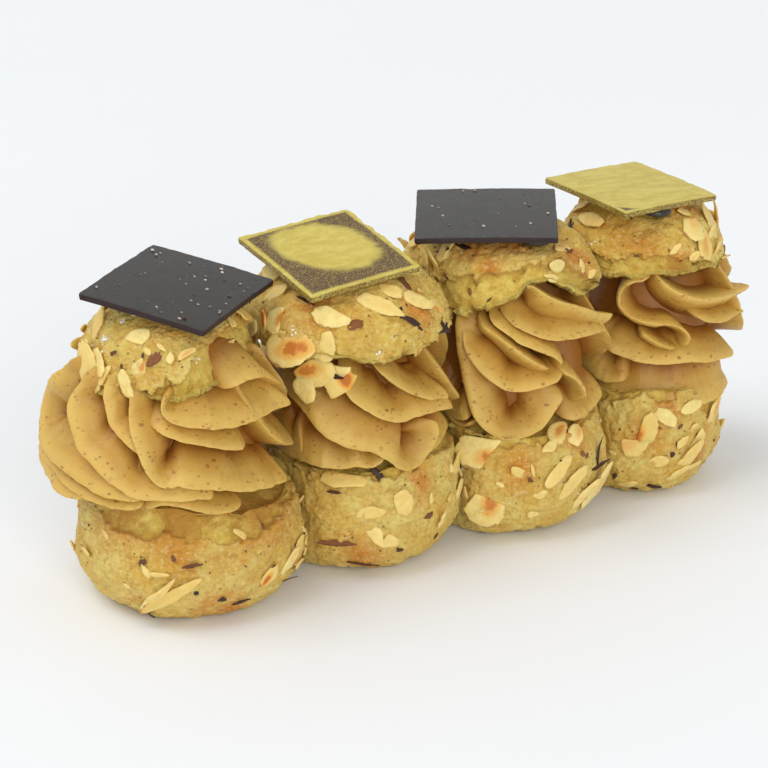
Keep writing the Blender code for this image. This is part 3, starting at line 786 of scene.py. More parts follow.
def square_surface(name, frayed, seed):
    """A thin sheet as a closed grid that runs from the middle of its underside out to the rim and back
    in over the top: rings of a rounded square, with a frayed rim and a slight bow. Returns the points,
    how far each lies across and along the square, and which make its broken sides."""
    square = SQUARES[name]
    turn = turns(SQUARE_TURNS, 0.5)
    reach = 1 / np.maximum(np.abs(np.cos(turn)), np.abs(np.sin(turn)))
    reach = np.minimum(reach, CORNER_REACH)
    half = SQUARE_THICKNESS / 2
    spread = np.concatenate([np.linspace(0.04, 0.96, SQUARE_RINGS), [0.985, 1.0]])
    edge = np.linspace(-1, 1, 7)[1:-1]
    share = np.concatenate([spread, 1 + 0.004 * (1 - edge**2), spread[::-1]])[:, None]
    level = np.concatenate([np.full(spread.shape, -half), edge * half, np.full(spread.shape, half)])[:, None]
    u = share * reach * np.cos(turn)
    v = share * reach * np.sin(turn)
    flat = joined(u * square.sides[0] / 2, v * square.sides[1] / 2, level)
    fray = frayed * noise(flat + 50, 2.6, seed, 4, 0.6) * step(share, 0.93, 1.0)
    flat[..., :2] *= 1 + fray[..., None] / 13
    flat[..., 2] += 0.5 * fray * step(share, 0.96, 1.0)
    flat[..., 2] += SQUARE_BOW * (0.5 - (u**2 + v**2) / 2)
    place, turned = square_frame(name)
    rows = np.arange(len(share))[:, None]
    side = (rows > SQUARE_RINGS) & (rows < len(share) - SQUARE_RINGS - 2)
    return flat @ turned.T + place, {"u": u, "v": v, "side": side.astype(float)}


def dab_surface(name):
    """A round dab squeezed between a square and the crust: a disc with a bulging rim."""
    square, shift = DABS[name]
    place, turned = square_frame(square)
    turn = turns(48)
    lift = np.linspace(-1, 1, 15)[:, None]
    radius = DAB_RADIUS * (0.72 + 0.28 * np.sqrt(np.clip(1 - lift**2, 0, 1))) * (1 + 0.03 * wave(turn, 4))
    hang = (SQUARE_THICKNESS + DAB_HEIGHT) / 2 + 0.15
    level = lift * (DAB_HEIGHT / 2 + 0.25) - hang
    flat = joined(shift[0] + radius * np.cos(turn), shift[1] + radius * np.sin(turn), level)
    return flat @ turned.T + place


# ------------------------------------------------------------
# Toppings
# ------------------------------------------------------------

@dataclass(frozen=True)
class Flake:
    """An almond flake, placed on the base or the lid of a bun, or hanging over the cream from
    the lid's edge, at a turn and a height. Then its length and width, its spin on the crust, how far its
    end stands off, and how toasted it is."""

    part: str
    bun: int
    turn: float
    height: float
    length: float
    width: float
    spin: float
    stand: float = 0.0
    toast: float = 0.3


def placed(part, bun, rows):
    """Flakes on one half of a bun, from rows of the values that follow in Flake."""
    return (Flake(part, bun, *row) for row in rows)


PLACED_FLAKES = (
    *placed("lid", 2, (
        (-150, 50.5, 11.5, 8.0, 15, 0.5, 0.9), (-131, 51.3, 6.8, 4.2, 80, 0.3, 0.05),
    )),
    *placed("edge", 2, (
        (-137, 45.4, 8.8, 6.2, 12, 0.3, 0.8), (-122, 42.8, 7.4, 6.6, -70, 0.0, 1.3),
        (-123, 46.6, 5.2, 3.4, 20, 1.0, 0.0),
    )),
    *placed("lid", 2, (
        (-128, 56.5, 7.8, 4.2, -8, 0.2, 0.0), (-95, 57.2, 10.0, 3.6, -42, 0.4, 0.2),
        (-64, 56.2, 7.0, 4.5, -50, 0.3, 0.0), (-80, 58.5, 6.0, 3.2, -50, 0.2, 0.15),
        (-172, 53.0, 6.5, 3.2, 85, 0.6, 1.1), (-163, 54.5, 6.0, 4.4, 60, 0.3, 0.9),
        (-178, 57.5, 7.0, 4.0, 40, 0.3, 0.0), (178, 51.0, 9.0, 6.5, 75, 0.4, 0.9),
    )),
    *placed("lid", 1, (
        (-147, 57.6, 5.4, 4.2, 45, 0.2, 0.0), (165, 52.5, 6.5, 5.2, 20, 0.4, 0.3),
        (-172, 52.0, 7.0, 5.4, -20, 0.5, 0.15), (-162, 50.4, 5.0, 2.4, 60, 0.8, 0.2),
        (-145, 49.8, 7.4, 2.8, -75, 0.5, 0.1),
    )),
    *placed("lid", 3, (
        (-168, 60.4, 8.0, 3.4, 70, 2.0, 0.1), (175, 57.0, 7.0, 3.2, 80, 1.6, 0.1),
        (-70, 60.2, 6.0, 2.6, -10, 0.2, 0.7),
    )),
    *placed("lid", 4, (
        (-80, 58.0, 8.0, 5.0, 65, 0.6, 0.4), (-74, 55.0, 7.5, 4.4, 75, 0.8, 0.5),
        (-45, 57.0, 9.0, 5.0, 70, 1.0, 0.2), (-40, 49.4, 6.5, 4.4, 60, 2.2, 0.2),
        (-60, 52.6, 6.0, 3.2, 80, 0.6, 0.3), (150, 59.0, 9.0, 5.0, 20, 1.0, 0.1),
        (-178, 58.5, 8.0, 3.2, 5, 0.6, 0.3),
    )),
    *placed("base", 1, (
        (-133.5, 8.8, 13.0, 2.4, 52, 1.0, 0.3), (-127.0, 8.8, 17.0, 2.6, 40, 1.6, 0.2),
        (-75, 8.9, 5.4, 3.4, 60, 0.3, 1.2), (-60, 10.2, 6.8, 3.8, 50, 0.5, 0.2),
        (-48, 11.0, 5.2, 2.8, 60, 0.6, 0.1), (-178, 13.0, 4.5, 2.2, 80, 0.8, 0.1),
    )),
    *placed("base", 2, (
        (-127, 22.4, 9.8, 5.4, -5, 0.2, 0.15), (-95, 17.0, 5.8, 4.6, -60, 0.2, 0.05),
        (-112, 15.6, 6.2, 3.4, 10, 0.1, 0.0), (-110, 10.6, 5.6, 2.8, -55, 1.0, 0.15),
        (-104, 9.4, 5.2, 3.2, -20, 0.2, 0.0), (-42, 19.0, 5.5, 3.2, 40, 1.0, 0.1),
        (-44, 13.0, 5.0, 3.2, 60, 0.8, 0.0),
    )),
    *placed("base", 3, (
        (-136, 21.2, 11.8, 7.8, 5, 0.4, 0.85), (-134, 9.2, 9.4, 8.2, 80, 0.5, 0.8),
        (-154, 15.0, 6.0, 2.6, 60, 1.0, 0.0), (-151, 10.0, 7.0, 3.2, 75, 0.8, 0.1),
        (-86, 24.0, 6.0, 4.2, 30, 0.4, 0.7), (-76, 22.0, 5.4, 3.6, 50, 0.3, 0.5),
        (-95, 21.0, 5.0, 2.2, 35, 0.2, 0.0), (-91, 16.0, 9.0, 2.8, 38, 0.5, 0.1),
        (-81, 12.6, 9.5, 3.2, 42, 0.6, 0.15), (-71, 9.2, 9.0, 3.2, 48, 0.8, 0.2),
        (-62, 10.0, 12.0, 4.8, 58, 1.8, 0.4), (-105, 7.0, 2.6, 2.2, 0, 0.1, 0.0),
    )),
    *placed("base", 4, (
        (-120, 17.2, 7.8, 5.6, 70, 0.3, 0.9), (-127, 14.0, 6.4, 5.2, 30, 0.2, 0.4),
        (-104, 19.0, 6.8, 3.2, -35, 0.2, 0.0), (-83, 20.4, 5.8, 2.8, 10, 0.2, 0.0),
        (-62, 18.0, 10.5, 3.4, 86, 1.4, 0.6), (-85, 10.0, 9.5, 3.0, 55, 0.6, 0.1),
        (-78, 13.0, 7.0, 2.6, 60, 0.5, 0.0), (-132, 3.8, 5.0, 2.6, 20, 0.4, 0.1),
        (-109, 9.6, 4.8, 2.8, 10, 0.2, 0.1), (-92, 6.0, 6.0, 2.6, 35, 0.4, 0.2),
    )),
    *placed("edge", 2, (
        (-143, 41.4, 6.0, 4.6, -70, 0.0, 0.1),
    )),
)
PLACED_SKINS = (
    *placed("lid", 2, (
        (-79, 54.0, 4.8, 1.5, -50, 0.4, 1.0), (-84, 55.6, 3.6, 0.8, 60, 0.6, 1.0),
        (-53, 50.4, 4.4, 3.0, -60, 0.5, 1.0), (-115, 55.0, 4.0, 2.2, 30, 0.2, 0.3),
    )),
    *placed("edge", 2, (
        (-125, 45.0, 4.6, 1.0, 12, 1.4, 1.0),
    )),
    *placed("lid", 2, (
        (-62, 58.5, 4.2, 1.8, 80, 0.4, 0.5), (-150, 58.2, 5.2, 0.7, -15, 0.3, 0.9),
    )),
    *placed("base", 2, (
        (-106, 22.4, 6.2, 1.5, -60, 0.6, 1.0), (-132, 19.8, 3.4, 0.8, 0, 0.2, 0.8),
        (-130, 9.2, 7.6, 1.4, 3, 0.1, 0.35), (-116, 3.6, 6.5, 0.6, 0, 0.2, 0.8),
        (-96, 6.8, 1.8, 1.1, 0, 0.2, 0.9), (-78, 12.6, 2.2, 1.3, 30, 0.2, 0.5),
    )),
    *placed("base", 3, (
        (-59, 16.5, 6.0, 1.2, 80, 0.8, 1.0), (-60, 14.0, 5.0, 1.0, 30, 1.2, 0.9),
        (-140, 23.0, 4.0, 0.9, 10, 0.4, 0.9),
    )),
    *placed("lid", 3, (
        (-171, 59.7, 4.2, 1.0, 20, 0.4, 0.9), (-157, 60.8, 5.2, 1.1, -10, 0.4, 1.0),
        (-96, 60.9, 3.2, 0.8, -20, 0.2, 0.8), (-66, 59.6, 3.2, 1.5, 0, 0.1, 0.45),
    )),
    *placed("lid", 4, (
        (158, 56.3, 4.8, 1.0, -12, 0.4, 1.0),
    )),
    *placed("base", 4, (
        (-111, 3.2, 3.6, 1.3, 10, 0.5, 1.0), (-140, 6.2, 2.6, 1.0, 70, 0.3, 0.9),
        (-100, 10.6, 1.8, 1.3, 0, 0.2, 0.9), (-128, 2.6, 3.2, 0.9, 0, 0.3, 0.9),
    )),
    *placed("lid", 1, (
        (-130, 54.8, 3.4, 2.2, 50, 0.1, 0.35), (-150, 52.4, 3.2, 0.7, -50, 0.3, 0.8),
        (-160, 55.0, 2.2, 0.8, 30, 0.2, 0.7),
    )),
    *placed("base", 1, (
        (-141.5, 2.8, 3.8, 1.8, 20, 1.0, 1.0), (-116, 14.8, 4.2, 0.9, 10, 0.2, 0.6),
        (-91, 5.0, 3.8, 0.6, 15, 0.2, 0.9), (-114, 9.2, 1.3, 1.0, 40, 0.2, 1.0),
        (-49, 4.2, 3.8, 1.5, 60, 1.0, 0.7), (-75, 10.4, 3.6, 1.1, 60, 0.5, 0.8),
        (-47, 12.4, 3.8, 0.7, 20, 0.3, 0.9),
    )),
    *placed("edge", 2, (
        (-131, 48.2, 2.8, 0.7, 20, 0.8, 0.9),
    )),
)
SUGAR_SPOTS = (
    ("lid", 2, -124, 55.5), ("lid", 2, -151, 53.5), ("lid", 2, -101, 49.8), ("lid", 1, 165, 50.5),
    ("lid", 1, -170, 53.5), ("lid", 2, -148, 51.0), ("lid", 1, -176, 56.0),
)


FLAKE_BEND = (0.01, 0.012)
SCATTER_HEIGHTS = (("base", (6.0, 20.0)), ("lid", (50.0, 60.5)))
FRONT_TURNS = (-175, -25)
FRONT_FLAKES = (2, 4.5)
FAR_FLAKES = (5, 12)
SUGAR_SIZES = (0.2, 0.55)
SPOT_GRAINS = 14
CRUMB_SHARES = {"plaque_dark_1": 0.7, "plaque_dark_3": 0.3}
CRUMB_SIZES = (0.25, 0.8)


def surface_spot(part, bun, turn, height):
    """The place, outward normal and upward direction on a bun's crust at a turn and a height, or on the
    upright cylinder under the lid's edge."""
    if part == "edge":
        lid = BUNS[bun - 1]
        normal = np.array([np.cos(np.radians(turn)), np.sin(np.radians(turn)), 0.0])
        centre = np.array([bun_x(bun - 1) + lid.lid_shift[0], lid.lid_shift[1], height])
        return centre + EDGE_REACH * lid.lid_radius * normal, normal, np.array([0.0, 0.0, 1.0])
    points, _ = (base_surface if part == "base" else lid_surface)(bun - 1)
    column = int(round(turn / 360 * CRUST_TURNS)) % CRUST_TURNS
    outer = slice(UNDER_ROWS, points.shape[0] - 2)
    if part == "base":
        outer = slice(len(FLAT_RINGS), len(FLAT_RINGS) + LOW_ROWS + UP_ROWS - 1)
    row = outer.start + int(np.abs(points[outer, column, 2] - height).argmin())
    rows = np.clip([row - SPOT_REACH, row + SPOT_REACH], outer.start, outer.stop - 1)
    columns = np.array([column - SPOT_REACH, column + SPOT_REACH]) % CRUST_TURNS
    up = points[rows[1], column] - points[rows[0], column]
    across = points[row, columns[1]] - points[row, columns[0]]
    normal = np.cross(across, up)
    normal /= np.linalg.norm(normal)
    up -= normal * (up @ normal)
    return points[row, column], normal, up / np.linalg.norm(up)


def flake_shell(length, width, seed):
    """One almond flake as a closed grid with its u and v: an egg outline with sides broken off along
    straight lines, thin edges and a slight bend."""
    draw = np.random.default_rng(seed)
    turn = turns(44)
    share = np.array([0.35, 0.7, 0.94, 1.0, 1.0, 0.94, 0.7, 0.35])[:, None]
    level = np.array([-1, -1, -0.8, -0.3, 0.3, 0.8, 1, 1])[:, None] * draw.uniform(0.2, 0.3)
    outline = 1 + 0.07 * wave(turn, seed) + 0.03 * draw.normal(size=turn.shape)
    for nearest in (0.35, 0.5, 0.8):
        facing = np.cos(turn - draw.uniform(0, 2 * np.pi))
        outline = np.minimum(outline, draw.uniform(nearest, 1.2) / np.maximum(facing, 0.05))
    u = share * outline * np.cos(turn)
    v = share * outline * np.sin(turn) * (1 - 0.2 * np.cos(turn))
    x, y = u * length / 2, v * width / 2
    warp = 0.22 * noise(joined(x, y, seed), 3.0, 5, 2)
    z = level + warp - (x**2) * FLAKE_BEND[0] - (y**2) * FLAKE_BEND[1]
    return joined(x, y, z), {"u": u, "v": v}


def skin_shell(length, width, seed):
    """One chip of nut skin as a closed grid: a thin splinter with pointed, jagged ends, curled along its
    length."""
    draw = np.random.default_rng(seed)
    turn = turns(16)
    share = np.array([0.5, 0.95, 1.0, 0.95, 0.5])[:, None]
    level = np.array([-1, -0.9, 0, 0.9, 1])[:, None] * draw.uniform(0.08, 0.16)
    jag = 1 + 0.16 * draw.normal(size=turn.shape)
    x = share * jag * np.cos(turn) * length / 2
    y = share * jag * np.sign(np.sin(turn)) * np.abs(np.sin(turn)) ** 1.5 * width / 2
    curl = draw.uniform(-0.35, 0.35)
    z = level + curl * x**2 / length
    return joined(x, y + 0.3 * curl * x**2 / length, z)


def laid(shell, place, normal, up, spin, lift, tip):
    """Lays a small shell on the crust: spun about the normal, tipped about its own width, and lifted."""
    side = np.cross(up, normal)
    turn = np.radians(spin)
    along = side * np.cos(turn) + up * np.sin(turn)
    across = np.cross(normal, along)
    angle = np.radians(tip)
    tipped = along * np.cos(angle) + normal * np.sin(angle)
    normal = normal * np.cos(angle) - along * np.sin(angle)
    return place + normal * lift + shell @ np.stack([tipped, across, normal])


def random_spots(count, seed):
    """Seeded places over the whole crust: half on the lower halves and half on the tops."""
    draw = np.random.default_rng(seed)
    for i in range(count):
        part, heights = SCATTER_HEIGHTS[i % 2]
        yield part, 1 + int(draw.integers(BUN_COUNT)), draw.uniform(-180, 180), draw.uniform(*heights), draw


def merged(name, shells, extra):
    """One mesh from many small closed shells and the values each carries on its points."""
    points, quads, caps, offset = [], [], [], 0
    values = {key: [] for key in extra[0]}
    for shell, more in zip(shells, extra):
        flat, faces, ends = closed_shell(shell, offset)
        points.append(flat)
        quads.append(faces)
        caps.append(ends)
        offset += len(flat)
        for key, value in more.items():
            values[key].append(with_poles(value, shell.shape[:2]))
    values = {key: np.concatenate(parts) for key, parts in values.items()}
    return new_mesh(name, np.vstack(points), np.vstack(quads), np.vstack(caps), values)


def on_crust(flake, shell, lift):
    """Lays a flake or a chip where it belongs on the crust."""
    tip = np.degrees(np.arctan2(flake.stand, flake.length / 2))
    spot = surface_spot(flake.part, flake.bun, flake.turn, flake.height)
    return laid(shell, *spot, flake.spin, lift + 0.35 * flake.stand, tip)


def flakes(extra_count):
    """All almond flakes: those listed, whole ones on the far side, and fragments all over."""
    wanted = list(PLACED_FLAKES)
    for part, bun, turn, height, draw in random_spots(extra_count, SEEDS["more_flakes"]):
        in_front = FRONT_TURNS[0] < turn < FRONT_TURNS[1]
        size = draw.uniform(*(FRONT_FLAKES if in_front else FAR_FLAKES))
        wanted.append(Flake(
            part, bun, turn, height, size, size * draw.uniform(0.22, 0.7), draw.uniform(0, 180),
            draw.uniform(0, 0.13) * size, draw.uniform(0, 1.1) ** 1.5 * min(1, size / 6),
        ))
    shells, extra = [], []
    for number, flake in enumerate(wanted):
        shell, values = flake_shell(flake.length, flake.width, SEEDS["flakes"] + number)
        shells.append(on_crust(flake, shell, 0.2))
        extra.append({**values, "toast": flake.toast, "tone": np.random.default_rng(number).uniform()})
    return shells, extra


def skins(count, seed):
    """Chips of nut skin: those listed and small seeded ones all over the crust."""
    wanted = list(PLACED_SKINS)
    for part, bun, turn, height, draw in random_spots(count, seed):
        length = draw.uniform(0.7, 1.5) ** 2
        wanted.append(Flake(
            part, bun, turn, height, length, length * draw.uniform(0.2, 0.6), draw.uniform(0, 180),
            0.1, draw.uniform(0.2, 1),
        ))
    shells = [
        on_crust(flake, skin_shell(flake.length, flake.width, seed + number), 0.12)
        for number, flake in enumerate(wanted)
    ]
    return shells, [{"tone": flake.toast} for flake in wanted]


def grain_shell(size, draw):
    """One grain: a small uneven ball."""
    turn = turns(8)
    lift = np.array([-0.8, -0.3, 0.3, 0.8])[:, None] * (np.pi / 2)
    radius = size / 2 * (1 + 0.22 * draw.normal(size=(4, 8)))
    level = radius * np.cos(lift)
    return joined(level * np.cos(turn), level * np.sin(turn), radius * np.sin(lift))


def grains(count, seed):
    """Clusters of sugar on the crust, at chosen and at seeded places: each is a few grains together."""
    shells, extra = [], []
    draw = np.random.default_rng(seed)
    spots = [*SUGAR_SPOTS, *(spot[:4] for spot in random_spots(count, seed))]
    for number, spot in enumerate(spots):
        place, normal, up = surface_spot(*spot)
        side = np.cross(up, normal)
        for _ in range(SPOT_GRAINS if number < len(SUGAR_SPOTS) else int(draw.integers(2, 7))):
            offset = draw.normal(size=2) * 0.5
            at = place + up * offset[0] + side * offset[1] + normal * draw.uniform(0, 0.2)
            shells.append(at + grain_shell(draw.uniform(*SUGAR_SIZES), draw))
            extra.append({"tone": draw.uniform()})
    return shells, extra


def square_crumbs(count, seed):
    """Crumbs scattered on the tops of the two dark squares."""
    draw = np.random.default_rng(seed)
    shells, extra = [], []
    for name, share in CRUMB_SHARES.items():
        place, turned = square_frame(name)
        for _ in range(int(count * share)):
            spot = draw.uniform(-0.47, 0.47, 2) * SQUARES[name].sides
            size = draw.uniform(*CRUMB_SIZES)
            shell = grain_shell(size, draw) * (1, draw.uniform(0.4, 1), 0.5)
            at = np.array([*spot, SQUARE_THICKNESS / 2 + 0.1 + size * 0.15])
            shells.append((shell + at) @ turned.T + place)
            extra.append({"tone": draw.uniform()})
    return shells, extra


# ------------------------------------------------------------
# Shader maths
# ------------------------------------------------------------

class Value:
    """A socket that takes part in sums: an expression on values adds its Math nodes."""

    def __init__(self, paint, socket):
        self.paint = paint
        self.socket = socket

    def maths(self, operation, *values):
        """A Math node of one operation on values, which may be numbers or sockets."""
        return self.paint.node("ShaderNodeMath", {"operation": operation}, dict(enumerate(values)))

    def __add__(self, other):
        return self.maths("ADD", self, other)

    def __sub__(self, other):
        return self.maths("SUBTRACT", self, other)

    def __rsub__(self, other):
        return self.maths("SUBTRACT", other, self)

    def __mul__(self, other):
        return self.maths("MULTIPLY", self, other)

    __radd__ = __add__
    __rmul__ = __mul__

    def step(self, low, high):
        """A smooth step from 0 at low to 1 at high."""
        return self.paint.node(
            "ShaderNodeMapRange", {"interpolation_type": "SMOOTHSTEP"},
            {"Value": self, "From Min": low, "From Max": high},
        )

    def clamped(self):
        """The value kept between 0 and 1."""
        return self.paint.node("ShaderNodeClamp", {}, {"Value": self})


class Paint:
    """A material under construction: one Principled shader and the nodes that feed it."""

    def __init__(self, name):
        self.material = bpy.data.materials.new(name)
        self.material.use_nodes = True
        self.tree = self.material.node_tree
        self.shader = self.tree.nodes["Principled BSDF"]

    def node(self, kind, settings, inputs, output=0):
        """Adds a node: its settings first, then the values or links of its sockets."""
        made = self.tree.nodes.new(kind)
        for key, value in settings.items():
            setattr(made, key, value)
        for key, value in inputs.items():
            self.feed(made.inputs[key], value)
        return Value(self, made.outputs[output])

    def feed(self, socket, value):
        """Links a value to a socket, or sets the socket to a number, a vector or a colour."""
        if isinstance(value, Value):
            self.tree.links.new(value.socket, socket)
        elif socket.type == "RGBA":
            socket.default_value = (*value, 1.0)
        else:
            socket.default_value = value

    def set(self, **sockets):
        """Sets or links sockets of the Principled shader, named with _ for a space."""
        for key, value in sockets.items():
            self.feed(self.shader.inputs[key.replace("_", " ")], value)
        return self

    def place(self, stretch=(1.0, 1.0, 1.0)):
        """Object coordinates in millimetres, stretched."""
        where = self.node("ShaderNodeTexCoord", {}, {}, "Object")
        scale = tuple(1000 * value for value in stretch)
        return self.node("ShaderNodeVectorMath", {"operation": "MULTIPLY"}, {0: where, 1: scale})

    def point_value(self, name):
        """A value that the mesh keeps on its points."""
        return self.node("ShaderNodeAttribute", {"attribute_name": name}, {}, "Fac")

    def noise(self, where, size, detail=3.0, rough=0.55, distortion=0.0):
        """Noise with features of a size in millimetres, from 0 to 1."""
        return self.node("ShaderNodeTexNoise", {}, {
            "Vector": where, "Scale": 1 / size, "Detail": detail, "Roughness": rough,
            "Distortion": distortion,
        })

    def specks(self, where, size, reach, seed=0.0):
        """Scattered specks: 1 inside, 0 outside. Reach is their radius as a share of their spacing."""
        moved = self.node("ShaderNodeVectorMath", {"operation": "ADD"}, {0: where, 1: (seed, seed, seed)})
        apart = self.node("ShaderNodeTexVoronoi", {}, {"Vector": moved, "Scale": 1 / size}, "Distance")
        return 1 - apart.step(reach * 0.6, reach)

    def blend(self, share, first, second):
        """A colour between two, by a share."""
        mixed = self.node("ShaderNodeMix", {"data_type": "RGBA"}, {0: share}, 2)
        made = mixed.socket.node
        self.feed(made.inputs[6], first)
        self.feed(made.inputs[7], second)
        return mixed

    def coats(self, ground, *layers):
        """A ground colour with coats over it: each is its share and its colour."""
        for share, colour in layers:
            ground = self.blend(share, ground, colour)
        return ground

    def bump(self, height, distance, strength):
        """A Bump node's normal from a height, whose full range stands for a distance in millimetres."""
        inputs = {"Height": height, "Distance": distance * MM, "Strength": strength}
        return self.node("ShaderNodeBump", {}, inputs)


def tint(red, green, blue):
    """A colour for a shader from red, green and blue as they look on a screen, 0 to 255."""
    shares = np.array([red, green, blue]) / 255
    linear = np.where(shares <= 0.04045, shares / 12.92, ((shares + 0.055) / 1.055) ** 2.4)
    return tuple(float(value) for value in linear)


# ------------------------------------------------------------
# Finishes
# ------------------------------------------------------------

def choux_finish(settings):
    """Baked choux: golden crust with pale, toasted and speckled places and painted highlight flecks in its
    grain, and a moist yellow crumb where it is torn."""
    paint = Paint("choux")
    where = paint.place()
    torn = paint.point_value("torn")
    patches = paint.noise(where, 12.0, 3.0).step(0.36, 0.62)
    mottle = paint.noise(where, 3.6, 5.0, 0.7).step(0.36, 0.66)
    oven = paint.noise(where, 8.0, 4.0, 0.65, 0.6)
    toasted = (oven.step(0.55, 0.73) * 0.65 + paint.point_value("toast") * oven.step(0.3, 0.5)).clamped()
    grain = paint.noise(where, 0.8, 5.0, 0.75)
    fine = paint.noise(where, 0.35, 3.0, 0.7)
    freckles = paint.specks(where, 2.0, 0.17) * paint.noise(where, 6.0).step(0.42, 0.58)
    crust = paint.coats(
        settings.crust,
        (patches, settings.pale),
        (mottle * 0.6, tint(228, 168, 58)),
        (toasted * 0.9, settings.toast),
        (grain.step(0.52, 0.72) * 0.5, tint(192, 126, 34)),
        # painted highlight: the lightest flecks of the grain are lightened to stand in for glints of light
        # on the crust
        ((1 - grain.step(0.32, 0.5)) * 0.6, tint(255, 238, 172)),
        (fine.step(0.58, 0.7) * 0.3, tint(168, 100, 32)),
        (freckles * 0.75, tint(104, 58, 24)),
    )
    crumb = paint.coats(
        settings.crumb,
        (paint.noise(where, 3.0, 5.0, 0.7).step(0.35, 0.65), tint(250, 224, 114)),
        (toasted * 0.8, tint(204, 140, 46)),
        (grain.step(0.5, 0.7) * 0.35, tint(190, 136, 44)),
    )
    torn_line = torn.step(0.0, 0.4) * (1 - torn.step(0.6, 1.0))
    wrinkle = paint.noise(paint.place((1.0, 1.0, 1.7)), 1.6, 5.0, 0.7)
    relief = grain * 0.6 + wrinkle + fine * 0.25
    paint.set(
        Base_Color=paint.coats(crust, (torn, crumb), (torn_line * 0.5, tint(190, 124, 46))),
        Roughness=0.55 - 0.1 * patches + 0.12 * grain,
        Normal=paint.bump(relief, 0.9, 1.0),
    )
    return paint.material


def cream_finish(settings):
    """Praline cream: warm tan, satin, with smeared brown specks of ground nut and a fine dragged grain,
    painted shade deep in its grooves and a painted highlight on its lips.
    """
    paint = Paint("praline_cream")
    where = paint.place()
    dragged = paint.place((1.0, 1.0, 1.6))
    cloud = paint.noise(where, 9.0, 2.0).step(0.3, 0.7)
    specks = paint.specks(dragged, 1.5, 0.28) * paint.noise(where, 3.5, 2.0).step(0.42, 0.62)
    larger = paint.specks(dragged, 3.6, 0.19, 7.0) * paint.noise(where, 1.2, 3.0, 0.7).step(0.4, 0.62)
    smears = paint.noise(dragged, 1.9, 4.0, 0.7).step(0.56, 0.7)
    deep = paint.point_value("deep")
    colour = paint.coats(
        settings.cream,
        (cloud, tint(194, 148, 64)),
        # painted highlight: the lips, where deep is low, are lighter as if catching the light
        ((1 - deep.step(0.0, 0.35)) * 0.6, tint(222, 188, 98)),
        # painted shade: the cream darkens towards the bottom of the grooves
        (deep.step(0.35, 1.0) * 0.85, tint(148, 86, 14)),
        (smears * settings.specks * 0.5, tint(164, 106, 50)),
        (specks * settings.specks * 0.8, tint(142, 84, 40)),
        (larger * settings.specks, tint(128, 66, 32)),
    )
    grain = paint.noise(dragged, 0.7, 4.0, 0.6)
    broad = paint.noise(dragged, 2.5, 3.0, 0.5)
    paint.set(
        Base_Color=colour,
        Roughness=0.42 + 0.12 * grain,
        Normal=paint.bump(grain * 0.5 + broad, 0.16, 0.8),
        Subsurface_Weight=0.15,
        Subsurface_Radius=(1.0, 0.42, 0.16),
        Subsurface_Scale=0.0016,
        Specular_IOR_Level=0.42,
    )
    return paint.material


def dark_finish(settings):
    """Tempered dark chocolate: smooth and glossy on its faces, with faint bloom, and browner and duller
    on its broken sides."""
    paint = Paint("dark_chocolate")
    where = paint.place()
    side = paint.point_value("side")
    bloom = paint.noise(where, 6.0, 3.0).step(0.4, 0.75)
    dust = paint.noise(where, 0.5, 4.0, 0.7).step(0.62, 0.8)
    colour = paint.coats(
        settings.dark,
        (bloom * 0.3, tint(72, 64, 54)),
        (dust * 0.12, tint(120, 100, 76)),
        (side, tint(40, 18, 12)),
    )
    fine = paint.noise(where, 2.4, 2.0)
    paint.set(
        Base_Color=colour,
        Roughness=0.26 + 0.1 * bloom + 0.35 * side,
        Normal=paint.bump(fine + dust * 0.3, 0.04, 0.4),
        Specular_IOR_Level=0.5,
    )
    return paint.material


DIAGONAL = 0.71
PATCH_SHIFT = (0.11, 0.16)
PATCH_REACH = (0.88, 0.70)


def gold_finish(settings, name, swept):
    """Dark chocolate brushed with gold lustre: a gold rim line, a swept oval patch across a diagonal and
    grainy bare chocolate between them. Swept is how far the patch reaches."""
    paint = Paint(name)
    where = paint.place()
    u, v = paint.point_value("u"), paint.point_value("v")
    long_way = (u + v + PATCH_SHIFT[0]) * (DIAGONAL / PATCH_REACH[0])
    short_way = (u - v + PATCH_SHIFT[1]) * (DIAGONAL / PATCH_REACH[1])
    sweep = paint.noise(paint.place((0.6, 1.2, 1.0)), 2.4, 4.0, 0.7)
    broad = paint.noise(where, 7.0, 3.0, 0.6)
    grains = paint.noise(where, 0.3, 3.0, 0.8)
    oval = long_way * long_way + short_way * short_way + (sweep - 0.5) * 0.9 + (broad - 0.5) * 0.8
    patch = 1 - oval.step(swept - 0.25, swept + 0.25)
    edge = u.maths("MAXIMUM", u.maths("ABSOLUTE", u), v.maths("ABSOLUTE", v))
    line = (edge + (grains - 0.5) * 0.12 + (broad - 0.5) * 0.05).step(0.89, 0.95)
    speckle = grains.step(0.50, 0.62) * (0.45 + 0.35 * broad)
    cover = patch.maths("MAXIMUM", patch, line)
    cover = cover.maths("MAXIMUM", cover, speckle)
    streak = paint.coats(
        settings.gold,
        (sweep.step(0.3, 0.7), tint(224, 206, 104)),
        (grains.step(0.35, 0.5) * -0.25 + 0.25, tint(178, 158, 70)),
    )
    chipped = paint.point_value("side") * (0.1 + 0.8 * grains.step(0.38, 0.56))
    colour = paint.coats(tint(88, 60, 42), (cover, streak), (chipped, tint(92, 56, 28)))
    paint.set(
        Base_Color=colour,
        Roughness=0.55 - 0.12 * cover,
        Metallic=cover * 0.2,
        Normal=paint.bump(grains + sweep * 0.4, 0.08, 0.6),
    )
    return paint.material


